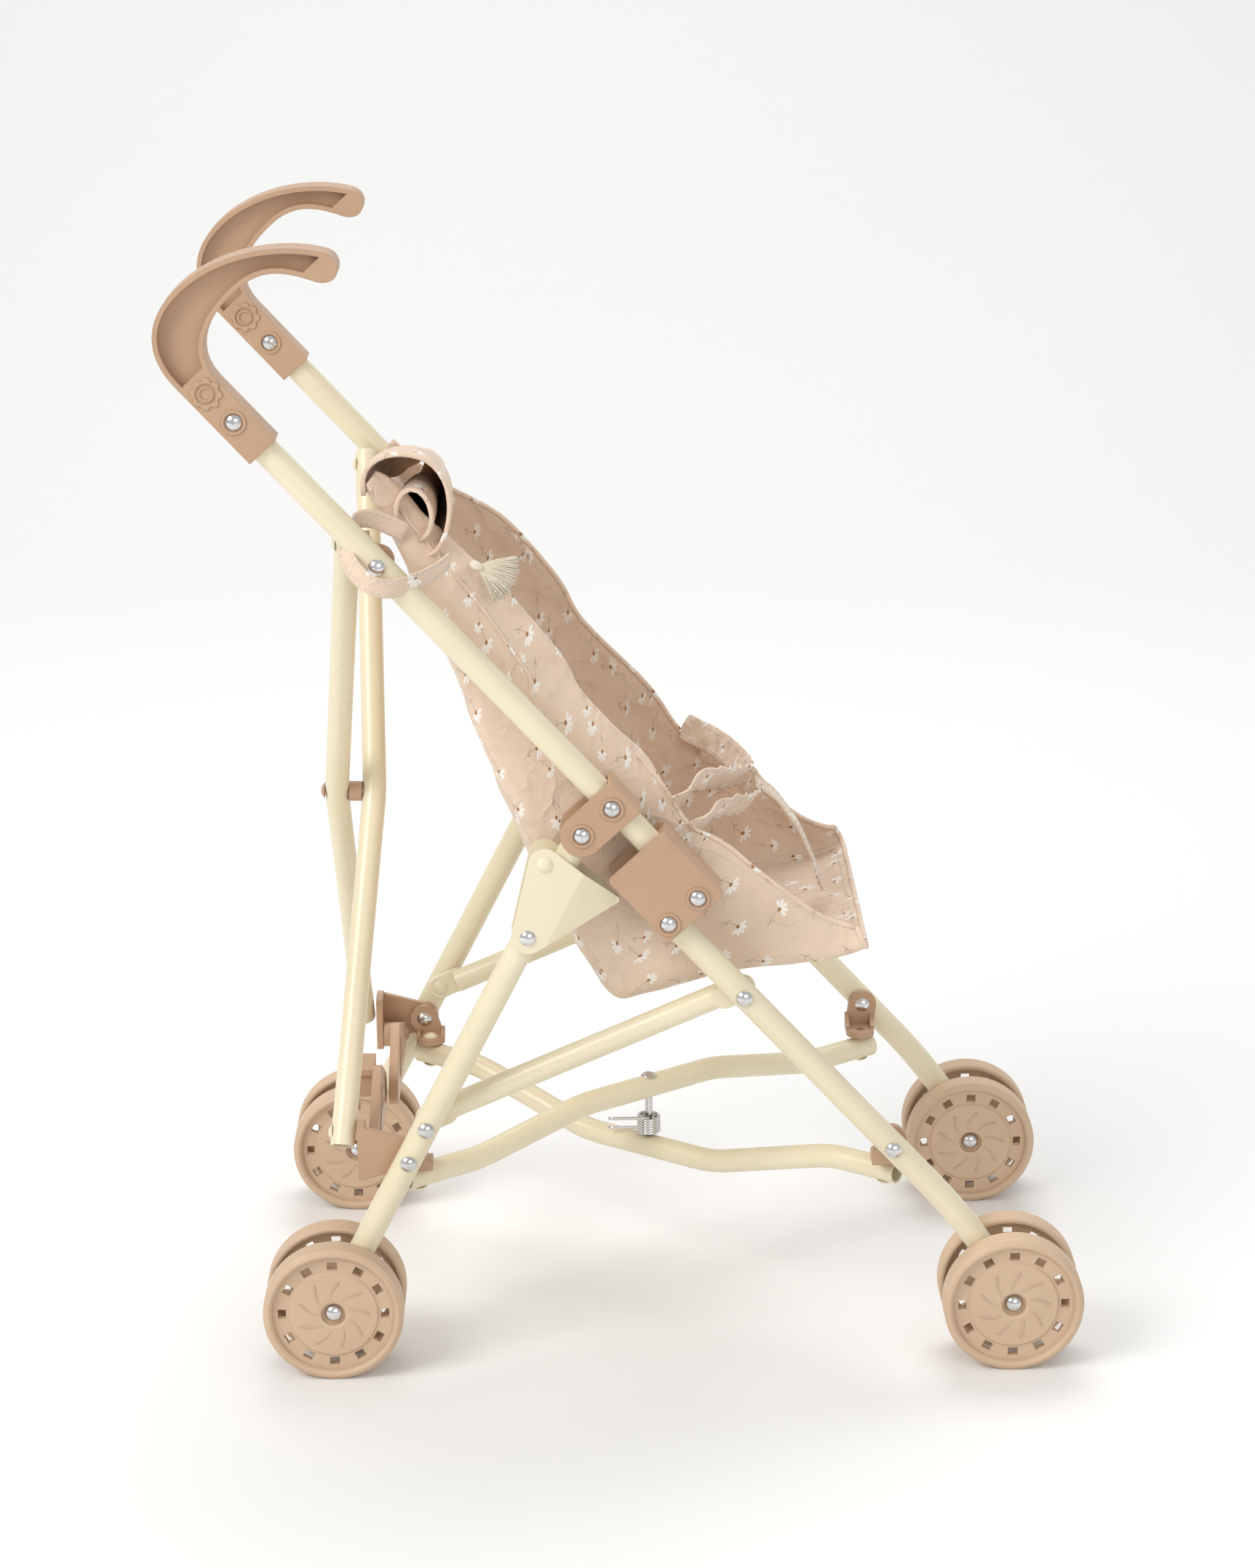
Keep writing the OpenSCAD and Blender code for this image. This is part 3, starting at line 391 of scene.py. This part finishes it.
    # warp and weft
    yarn_turn = 2 * math.pi / 0.0006  # one over and under in 0.6 mm
    weave = s.math("MULTIPLY", s.math("SINE", s.math("MULTIPLY", u, yarn_turn)),
                   s.math("SINE", s.math("MULTIPLY", v, yarn_turn)))
    cloth = s.mix(s.span(weave, -1, 1, 0.0, 0.08), cloth, (0.50, 0.36, 0.26))
    s.bsdf.inputs["Sheen Weight"].default_value = 0.25
    s.bsdf.inputs["Sheen Roughness"].default_value = 0.5
    s.bsdf.inputs["Subsurface Weight"].default_value = 0.08
    s.bsdf.inputs["Subsurface Radius"].default_value = (0.003, 0.002, 0.0015)
    broad = s.bump(s.noise(60, 4, 0.55), 0.003, 0.7)
    ridge = s.math("POWER", s.math("SUBTRACT", 1.0, s.math("MULTIPLY", 2.0, s.math(
        "ABSOLUTE", s.math("SUBTRACT", s.noise(38, 2, 0.5), 0.5))), clamp=True), 7.0)
    creases = s.bump(ridge, 0.0014, 0.6, broad)
    return s.finish(cloth, None, s.bump(weave, 0.00012, 0.5, creases))


def backdrop_paint():
    s = Shader("backdrop", (0.865, 0.865, 0.86), 0.7)
    return s.finish(s.mix(s.span(s.noise(0.6, 3), 0.3, 0.7), (0.87, 0.87, 0.868), (0.85, 0.85, 0.845)))


PAINT = painted_tube()
PLASTIC = moulded("tan_plastic", (0.505, 0.325, 0.205), (0.465, 0.295, 0.185), 0.36, 0.5, 0.25)
WHEEL = moulded("wheel_plastic", (0.615, 0.445, 0.30), (0.575, 0.41, 0.275), 0.45, 0.62, 0.3)
METAL = plated()
CLOTH = flowered_cloth("flowered_cloth")
THREAD = thread("white_thread", (0.88, 0.83, 0.76))
YARN = thread("ivory_yarn", (0.86, 0.78, 0.62))

by_slot = {"tube_paint": PAINT, "tan_plastic": PLASTIC, "wheel_plastic": WHEEL, "bright_metal": METAL,
           "printed_fabric": CLOTH, "fringe": YARN}
slot_of = {p["node"]: p["material_slot"] for p in frame["record"]["subparts"]}
for name, obj in nodes.items():
    for material_slot in obj.material_slots:
        material_slot.material = by_slot[slot_of[name]]


# ---------- the seat: one trough of cloth, hung from the push tubes ----------
# Sling line (t, x, z) down the back, round the low corner and forward to the front edge
SLING = [(0.00, 25, 440), (0.18, 57.4, 371), (0.30, 76.6, 313), (0.42, 96.4, 267), (0.52, 116.5, 223),
         (0.60, 137.5, 184.5), (0.66, 157, 183.5), (0.74, 189, 192), (0.84, 223, 197), (0.93, 248, 200.5),
         (1.00, 263, 207)]
# Upper edge of the side panels (t, x, z)
RIM = [(0.00, 30, 446), (0.10, *by_tube(210, 24)), (0.22, *by_tube(168, 27)), (0.33, *by_tube(126, 25)),
       (0.40, *by_tube(100, 19)),
       (0.54, *by_tube(52, 20)), (0.64, 176, 272), (0.72, 192, 262), (0.80, 214, 243), (0.90, 240, 223),
       (0.96, 255, 217), (1.00, 258, 217)]
HALF_WIDTH = 85.5
SIDE_ROWS, FLOOR_ROWS, LENGTH_ROWS = 12, 30, 84
FLOP = 9  # extra columns that fold inward over the near-side rim


def seat_points():
    grid = []
    for i in range(LENGTH_ROWS + 1):
        t = i / LENGTH_ROWS
        sx, sz = interp(SLING, t)
        rx, rz = interp(RIM, t)
        line = []
        # near side, from the tip of the folded flop down to the sling
        flop = 20 * smooth((0.60 - t) / 0.12) * smooth(t / 0.05 + 0.25)
        for k in range(FLOP, 0, -1):
            a = math.pi * min(1.0, k / 4)
            drop = max(0, k - 3) / (FLOP - 3)
            lean = 1.0 - math.cos(a)
            line.append((rx + 2.0 * math.sin(a) * smooth(flop / 20) + flop * drop * 0.55,
                         -HALF_WIDTH + 4 + (3.4 * lean + 2 * drop) * smooth(flop / 12),
                         rz + 2.6 * math.sin(a) * smooth(flop / 20) - flop * drop * 1.05))
        for k in range(SIDE_ROWS):
            h = 1 - k / SIDE_ROWS
            bulge = 3.0 * math.sin(math.pi * h) * smooth(t / 0.3)
            line.append((sx + (rx - sx) * h, -HALF_WIDTH - bulge + 4.5 * h * h, sz + (rz - sz) * h))
        for k in range(FLOOR_ROWS + 1):
            y = -HALF_WIDTH + 2 * HALF_WIDTH * k / FLOOR_ROWS
            across = y / HALF_WIDTH
            sag = 5.5 * (1 - across ** 2) * math.sin(math.pi * min(1, t * 1.02))
            top_slant = -9 * (across + 1) * smooth(1 - t / 0.25)
            line.append((sx - 0.6 * sag, y, sz - 0.8 * sag + top_slant))
        for k in range(1, SIDE_ROWS + 1):
            h = k / SIDE_ROWS
            top_slant = -18 * smooth(1 - t / 0.25)
            bulge = 3.0 * math.sin(math.pi * h) * smooth(t / 0.3)
            z = sz + (rz - sz) * h + top_slant
            line.append((sx + (rx - sx) * h, HALF_WIDTH + bulge - 3 * h * h, z))
        grid.append(line)
    g = np.array(grid)
    inner = g[:, FLOP:]
    for _ in range(5):  # rounds the two long seams
        inner[:, 1:-1] = 0.5 * inner[:, 1:-1] + 0.25 * (inner[:, :-2] + inner[:, 2:])
    return g


FOLDS = ((3.4, 36, 3.1), (2.6, 17, 8.7), (1.1, 9, 5.2))  # depth and size in mm, and a seed


def crumple(g):
    """Soft folds that grow away from the sewn edges."""
    rows, cols = g.shape[:2]
    out = g.copy()
    for i in range(rows):
        t = i / (rows - 1)
        for c in range(cols):
            x, y, z = g[i, c]
            d = sum(depth * wobble(x, y, z, size, seed) for depth, size, seed in FOLDS)
            edge = min(1.0, (cols - 1 - c) / 4, i / 3 if c > FLOP else 1.0, (rows - 1 - i) / 5)
            here = d * (0.18 + 0.82 * edge)
            side = abs(y) > HALF_WIDTH - 9
            if side:
                # pleats that run down from the tube and out from the waist strap
                pleat = math.sin(0.16 * (x * TUBE_UP.y - z * TUBE_UP.x) + 2.2 * wobble(x, y, z, 60, 1.7))
                out[i, c] += (0, -np.sign(y) * (here * 0.9 + 1.3 * pleat * edge + 0.8), 0)
            else:
                radial = math.sin(0.21 * y + 3.0 * wobble(x, y, z, 70, 4.4))
                amount = here + 1.4 * radial * edge * (1 if t > 0.6 else 0.7)
                on_back = t < 0.6  # the back creases forward, the seat bottom creases up
                out[i, c] += (0.75 * amount * (1 if on_back else 0.15), 0,
                              0.65 * amount * (1 if t > 0.6 else 0.5))
    return out


seat_grid = crumple(seat_points())
seat_rows, seat_cols = seat_grid.shape[:2]
seat_m = np.array([[row(*p) for p in line] for line in seat_grid])
seat = grid_object("seat_cloth", seat_m)


def settle_cloth(obj, pinned, frames=22, most=0.009):
    """Lets the cloth fall into its folds with its sewn edges held, then keeps the result."""
    group = obj.vertex_groups.new(name="sewn")
    for index, weight in pinned.items():
        group.add([index], weight, "REPLACE")
    mod = obj.modifiers.new("settle", "CLOTH")
    mod.settings.quality = 6
    mod.settings.mass = 0.12
    mod.settings.tension_stiffness = 18
    mod.settings.compression_stiffness = 12
    mod.settings.shear_stiffness = 6
    mod.settings.bending_stiffness = 0.12
    mod.settings.air_damping = 4
    mod.settings.vertex_group_mass = "sewn"
    mod.settings.pin_stiffness = 1
    mod.settings.shrink_min = -0.045
    mod.collision_settings.use_collision = False
    mod.collision_settings.use_self_collision = False
    mod.point_cache.frame_end = frames
    scene = bpy.context.scene
    for f in range(1, frames + 1):
        scene.frame_set(f)
    dg = bpy.context.evaluated_depsgraph_get()
    settled = obj.evaluated_get(dg)
    coords = [v.co.copy() for v in settled.data.vertices]
    obj.modifiers.remove(mod)
    obj.vertex_groups.clear()
    scene.frame_set(1)
    for v, co in zip(obj.data.vertices, coords):
        move = co - v.co
        if move.length > most:
            move *= most / move.length
        v.co += move
    obj.data.update()


pins = {}
for i in range(seat_rows):
    for c in range(seat_cols):
        to_seam = min(abs(c - (FLOP + SIDE_ROWS)), abs(c - (FLOP + SIDE_ROWS + FLOOR_ROWS)))
        hold = 0.0
        if c == seat_cols - 1 or c == FLOP or i == 0 or i == seat_rows - 1:
            hold = 1.0
        elif to_seam == 0:
            hold = 0.9
        elif c < FLOP:
            hold = 0.75
        if hold:
            pins[i * seat_cols + c] = hold
settle_cloth(seat, pins)

final = np.array([v.co[:] for v in seat.data.vertices]).reshape(seat_rows, seat_cols, 3)
seat_normals = np.array([v.normal[:] for v in seat.data.vertices]).reshape(seat_rows, seat_cols, 3)


SEAT_THICKNESS = 0.0009


def finish_cloth(obj, thickness=SEAT_THICKNESS):
    """Smooths a cloth grid and gives it its thickness, half on each side."""
    for p in obj.data.polygons:
        p.use_smooth = True
    smoother = obj.modifiers.new("smooth", "SUBSURF")
    smoother.levels = smoother.render_levels = 1
    solid = obj.modifiers.new("thickness", "SOLIDIFY")
    solid.thickness = thickness
    solid.offset = 0


seat.data.materials.append(CLOTH)
finish_cloth(seat)


BINDING_SIDES = 10
BINDING_RADIUS = 0.0013
SEAM_RADIUS = 0.0010
FLOP_BINDING_RADIUS = 0.0011


def binding(name, path, radius=BINDING_RADIUS):
    """A folded strip sewn round an edge, as a tube of uneven thickness."""
    pts = resample(path, 0.004)
    radii = [radius * (1 + 0.10 * wobble(p.x * 1000, p.y * 1000, p.z * 1000, 9, 2.2)) for p in pts]
    verts, faces = tube_along(pts, radii, sides=BINDING_SIDES)
    uvs = [(0.3 * (k % BINDING_SIDES) / BINDING_SIDES * radius * 20, 0.004 * (k // BINDING_SIDES))
           for k in range(len(verts))]
    obj = make_mesh(name, verts, faces, uvs)
    obj.data.materials.append(CLOTH)
    return obj


pieces_on_seat = []
far_col, near_col = seat_cols - 1, FLOP
near_seam, far_seam = FLOP + SIDE_ROWS, FLOP + SIDE_ROWS + FLOOR_ROWS


def along_seat(rows, col, lift=0.0):
    """Points of the finished cloth down one column, lifted off it along its normals."""
    return [Vector(final[i, col]) + Vector(seat_normals[i, col]) * lift for i in rows]


front_edge = [Vector(final[-1, c]) for c in range(near_col, seat_cols)]
pieces_on_seat.append(binding("seat_front_binding", front_edge))
pieces_on_seat.append(binding("seat_far_binding", along_seat(range(seat_rows), far_col)))
pieces_on_seat.append(binding("seat_near_binding",
                              along_seat(range(int(0.5 * seat_rows), seat_rows), near_col)))
pieces_on_seat.append(binding("seat_flop_binding", along_seat(range(int(0.62 * seat_rows)), 0),
                              FLOP_BINDING_RADIUS))
# the fold line of the flop steps in by one column below its gathers
fold_path = [Vector(final[i, FLOP + 3 + (1 if i > 26 else 0)]) + Vector((0, -0.0006, 0))
             for i in range(5, 34)]
pieces_on_seat.append(binding("seat_flop_fold", fold_path, SEAM_RADIUS))
for side, col in (("near", near_seam), ("far", far_seam)):
    path = along_seat(range(2, seat_rows - 2), col, -0.0007)
    pieces_on_seat.append(binding(f"seat_seam_{side}", path, SEAM_RADIUS))


def sewn_line(name, rows_cols, lift):
    path = [Vector(final[i, c]) for i, c in rows_cols]
    norms = [Vector(seat_normals[i, c]) * lift for i, c in rows_cols]
    path = [p + n * 0.0006 for p, n in zip(path, norms)]
    obj = stitches(name, path, norms)
    obj.data.materials.append(THREAD)
    return obj


mid_normal = Vector(seat_normals[seat_rows // 2, near_seam + 15])
inside = 1.0 if mid_normal.x > 0 else -1.0  # the way from the cloth to the doll
for name, cells, lift in (
        ("stitches_far_rim", [(i, far_col - 1) for i in range(3, seat_rows)], inside),
        ("stitches_front", [(seat_rows - 3, c) for c in range(near_col + 2, far_col - 1)], inside),
        ("stitches_flop", [(i, 1) for i in range(2, int(0.58 * seat_rows))], inside),
        ("stitches_near_rim", [(i, near_col + 1) for i in range(int(0.6 * seat_rows), seat_rows)], -inside)):
    pieces_on_seat.append(sewn_line(name, cells, lift))
for obj in [seat, *pieces_on_seat]:
    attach(obj, "push_right")
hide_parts("seat_fabric")


# ---------- rolled head hem, straps, tassel ----------
BAND_THICKNESS = 0.0011


def band(name, path, width, up_hint, ruffle=0.0):
    """A flat strap along a path, with a line of stitches beside each edge, on both faces."""
    pts = resample(path, 0.0035)
    lines, across = [], 7
    for i, p in enumerate(pts):
        d = (pts[min(i + 1, len(pts) - 1)] - pts[max(i - 1, 0)]).normalized()
        up = Vector(up_hint(i / (len(pts) - 1)))
        up = (up - d * up.dot(d)).normalized()
        out = d.cross(up)
        line = []
        for k in range(across):
            w = (k / (across - 1) - 0.5) * width
            q = p + up * w
            n = wobble(q.x * 1000, q.y * 1000, q.z * 1000, 9, 6.1)
            wave = ruffle * math.sin(p.y * 1000 / 2.1 + 2 * n) * abs(w / width * 2) ** 1.5
            line.append(q + out * (0.0006 * n + wave))
        lines.append(line)
    g = np.array([[tuple(q) for q in line] for line in lines])
    obj = grid_object(name, g)
    obj.data.materials.append(CLOTH)
    finish_cloth(obj, BAND_THICKNESS)
    extras = []
    norms = np.array([v.normal[:] for v in obj.data.vertices]).reshape(g.shape)
    for tag, col in (("a", 1), ("b", across - 2)):
        for face, sign in (("o", 1), ("i", -1)):
            path = [Vector(p) + Vector(n) * sign * 0.0006 for p, n in zip(g[:, col], norms[:, col])]
            sewn = stitches(f"{name}_stitches_{tag}{face}", path, [Vector(n) * sign for n in norms[:, col]])
            sewn.data.materials.append(THREAD)
            extras.append(sewn)
    for o in [obj, *extras]:
        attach(o, "push_right")
    return obj


# Head hem: the top of the back rolled forward into a loose spiral, lower and pinched at the far side
ROLL_HALF = 84.5  # half of its width
ROLL_MID = (44, 436)  # what it shrinks towards, as x and z
ROLL_THICKNESS = 0.0014
ROLL_BINDING_RADIUS = 0.0012
LOOP = [(25, 436), (23, 445), (28, 452), (38, 456.5), (50, 455.5), (59, 449), (65, 438), (66, 426),
        (62, 413), (55, 404), (47, 407), (42, 416), (39, 427), (41, 437), (48, 441), (55, 436),
        (58, 426), (56, 417), (51, 414)]


def head_roll(rows=31, cols=41):
    lines = []
    for k in range(rows):
        y = -ROLL_HALF + 2 * ROLL_HALF * k / (rows - 1)
        f = smooth((y + ROLL_HALF) / 150)
        size = (1 - 0.50 * f) * (1 - 0.9 * smooth((k - 24) / 6))
        cx, cz = ROLL_MID[0] + 4 * f, ROLL_MID[1] - 17 * f
        loop = []
        for i in range(cols):
            s = i / (cols - 1) * (len(LOOP) - 1)
            j = min(int(s), len(LOOP) - 2)
            x = LOOP[j][0] + (LOOP[j + 1][0] - LOOP[j][0]) * (s - j)
            z = LOOP[j][1] + (LOOP[j + 1][1] - LOOP[j][1]) * (s - j)
            n = 1.6 * wobble(x, y, z, 26, 12.4) + 0.8 * wobble(x, y, z, 11, 4.3)
            loop.append((cx + (x - ROLL_MID[0]) * size + n, y + 1.2 * wobble(x, y, z, 15, 9.9),
                         cz + (z - ROLL_MID[1]) * size + 0.7 * n))
        for _ in range(3):
            middle = [tuple((np.array(a) + 2 * np.array(b) + np.array(c)) / 4)
                      for a, b, c in zip(loop, loop[1:], loop[2:])]
            loop = [loop[0], *middle, loop[-1]]
        lines.append([row(*p) for p in loop])
    return np.array([[tuple(q) for q in line] for line in lines])


roll_grid = head_roll()
roll = grid_object("head_roll", roll_grid)
roll.data.materials.append(CLOTH)
finish_cloth(roll, ROLL_THICKNESS)
roll_normals = np.array([v.normal[:] for v in roll.data.vertices]).reshape(roll_grid.shape)
hem_points, hem_normals = roll_grid[2, 2:38], roll_normals[2, 2:38]  # two rows in from the near end
roll_binding = binding("head_roll_binding", [Vector(p) for p in roll_grid[0]], ROLL_BINDING_RADIUS)
roll_stitches = stitches("stitches_head_roll",
                         [Vector(p) + Vector(n) * -0.0008 for p, n in zip(hem_points, hem_normals)],
                         [Vector(n) * -1 for n in hem_normals])
roll_stitches.data.materials.append(THREAD)
roll_extras = [roll_binding, roll_stitches]
for o in [roll, *roll_extras]:
    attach(o, "push_right")


def spline(points, n=40):
    """A smooth path through side-view points, in metres."""
    table = [(i / (len(points) - 1), *p) for i, p in enumerate(points)]
    return [row(*interp(table, k / n)) for k in range(n + 1)]


def lap_lean(t):
    """The way a waist band's width points: up, and forward over the lap."""
    return 0.62, 0.0, 0.78


waist_top = spline([(168, -82, 281), (184, -66, 289), (199, -34, 280), (206, 0, 273), (203, 34, 270),
                    (194, 64, 270), (178, 82, 274)])
waist_low = spline([(176, -83, 268), (192, -66, 274), (206, -34, 267), (212, 0, 261), (210, 34, 259),
                    (201, 64, 260), (188, 82, 264)])
waist = band("waist_band_upper", waist_top, 0.0140, lap_lean, ruffle=0.0020)
band("waist_band_lower", waist_low, 0.0135, lap_lean, ruffle=0.0016)
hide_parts("waist_strap")

# Crotch strap, from the middle of the waist strap down to the front of the seat
crotch_path = spline([(212, 0, 268), (222, 0, 261), (232, 0, 247), (240, 0, 230), (246, 0, 212)])
crotch = band("crotch_band", crotch_path, 0.020, lambda t: (0.0, 1.0, 0.0))
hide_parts("crotch_strap")

# Strap loop round the right push tube
tie_path = spline([(64, -88, 405), (56, -100, 401.5), (44, -111, 398.5), (33, -116, 398.5),
                   (23, -113.5, 404), (16.5, -106, 414), (18, -96, 424), (28, -90, 426), (44, -87, 418)], 60)
tie = band("tie_band", tie_path, 0.0090, lambda t: (0.25 + 0.3 * t, 0.0, 0.95))
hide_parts("tie_strap")


def tassel(knot=(77, -87.5, 402), strands=110):
    """A fan of yarn below a wrapped knot, over the folded flop."""
    x, y, z = knot
    parts = []
    for i in range(strands):
        f = i / (strands - 1)
        a = math.radians(14 - 78 * f + 5 * wobble(i * 3.1, 0, 0, 4, 1.1))
        length = 19.5 + 1.6 * wobble(i * 2.7, 5, 0, 3, 2.0)
        layer = (i * 7 % 5) * 0.45
        start = (x + 0.2 * wobble(i, 1, 1, 2, 0.5), y + layer * 0.5, z + 0.5 * (f - 0.5))
        end = (x + length * math.cos(a), y - 1.5 + layer + 1.5 * math.sin(3 * f), z + length * math.sin(a))
        mid = ((x + end[0]) / 2, (y + end[1]) / 2 - 1.0,
               (z + end[2]) / 2 + (0.8 + 0.6 * wobble(i, 3, 1, 2, 7.0)))
        parts.append(tube_along(spline([start, mid, end], 6), 0.00028, sides=5))
    fan = join_meshes("tassel_fringe", parts)
    fan.data.materials.append(YARN)
    wrap = [0.0009, 0.0018, 0.0022, 0.0022, 0.0019, 0.0016, 0.0013]
    head = make_mesh("tassel_knot", *tube_along(
        spline([(74, -87, 403.5), (77, -88, 402), (79.5, -88, 401)], len(wrap) - 1), wrap, sides=12))
    head.data.materials.append(YARN)
    for o in (fan, head):
        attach(o, "push_right")
    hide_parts("tassel")


tassel()


# ---------- coil spring between the bottom cross tubes ----------
def coil_spring(wire=0.00085, turns=6.5, leg=0.021):
    """A helix with two straight legs to the rear, in the place of the CAD sleeve."""
    low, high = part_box("cross_spring")
    rivet_low, rivet_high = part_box("cross_rivet")
    centre = Vector(((rivet_low.x + rivet_high.x) / 2, 0, 0))
    radius = (high.y - low.y) / 2 - wire
    bottom, height = low.z + wire, high.z - low.z - 2 * wire
    path = [centre + Vector((-leg * (1 - k / 6), radius, bottom)) for k in range(7)]
    steps = int(turns * 28)
    for k in range(1, steps):
        a = math.pi / 2 + 2 * math.pi * turns * k / steps
        path.append(centre + Vector((radius * math.cos(a), radius * math.sin(a), bottom + height * k / steps)))
    path += [centre + Vector((-leg * k / 6, -radius, high.z - wire)) for k in range(7)]
    spring = make_mesh("coil_spring", *tube_along(path, wire, sides=10))
    spring.data.materials.append(METAL)
    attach(spring, "bottom_lower")
    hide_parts("cross_spring")


coil_spring()


# ---------- stage, light and camera ----------
def stage(half=3.2, front=3.4, depth=2.6, wall=3.0, bend=1.1):
    """A floor that bends up into a wall, a pale world and three soft lights, in metres."""
    profile = [(-front, 0.0), (depth - bend, 0.0)]
    profile += [(depth - bend + bend * math.sin(a), bend * (1 - math.cos(a)))
                for a in np.linspace(0.1, math.pi / 2, 14)]
    profile += [(depth, wall)]
    verts = [(x, y, z) for y, z in profile for x in (-half, half)]
    strips = [(2 * i, 2 * i + 1, 2 * i + 3, 2 * i + 2) for i in range(len(profile) - 1)]
    floor = make_mesh("backdrop", verts, strips)
    floor.data.materials.append(backdrop_paint())

    world = bpy.data.worlds.new("studio")
    world.use_nodes = True
    world.node_tree.nodes["Background"].inputs[0].default_value = (1.0, 1.0, 1.0, 1)
    world.node_tree.nodes["Background"].inputs[1].default_value = 0.62
    bpy.context.scene.world = world

    def area(name, at, aim, size, watts, colour=(1, 1, 1)):
        light = bpy.data.lights.new(name, "AREA")
        light.shape, light.size, light.size_y = "RECTANGLE", size[0], size[1]
        light.energy, light.color = watts, colour
        obj = bpy.data.objects.new(name, light)
        bpy.context.scene.collection.objects.link(obj)
        obj.location = at
        obj.rotation_euler = (Vector(aim) - Vector(at)).to_track_quat("-Z", "Y").to_euler()

    area("window_left", (-1.7, -1.3, 1.9), (0, 0, 0.2), (1.3, 1.3), 36, (1, 0.99, 0.975))
    area("front_fill", (0.9, -2.4, 1.4), (0, 0, 0.25), (1.8, 1.4), 12)
    area("top_back", (0.2, 1.2, 2.3), (0, 0, 0.2), (1.6, 1.0), 22, (1, 1, 0.99))


def camera():
    """The view fitted to the photograph: near the right side, a little from above."""
    pitch, yaw, roll = (math.radians(a) for a in (16.93, 0.65, -0.52))
    forward = Vector((math.sin(yaw) * math.cos(pitch), math.cos(yaw) * math.cos(pitch), -math.sin(pitch)))
    right = Vector((math.cos(yaw), -math.sin(yaw), 0))
    up = right.cross(forward)
    cos, sin = math.cos(roll), math.sin(roll)
    right, up = cos * right + sin * up, cos * up - sin * right
    data = bpy.data.cameras.new("camera")
    data.lens, data.sensor_width = 84.19, 36.0
    data.dof.use_dof = False
    cam = bpy.data.objects.new("camera", data)
    bpy.context.scene.collection.objects.link(cam)
    turn = Matrix((right, up, -forward)).transposed().to_4x4()
    cam.matrix_world = Matrix.Translation(row(127.8, -1768, 805.4)) @ turn
    bpy.context.scene.camera = cam


stage()
camera()
scene = bpy.context.scene
scene.view_settings.view_transform = "Standard"
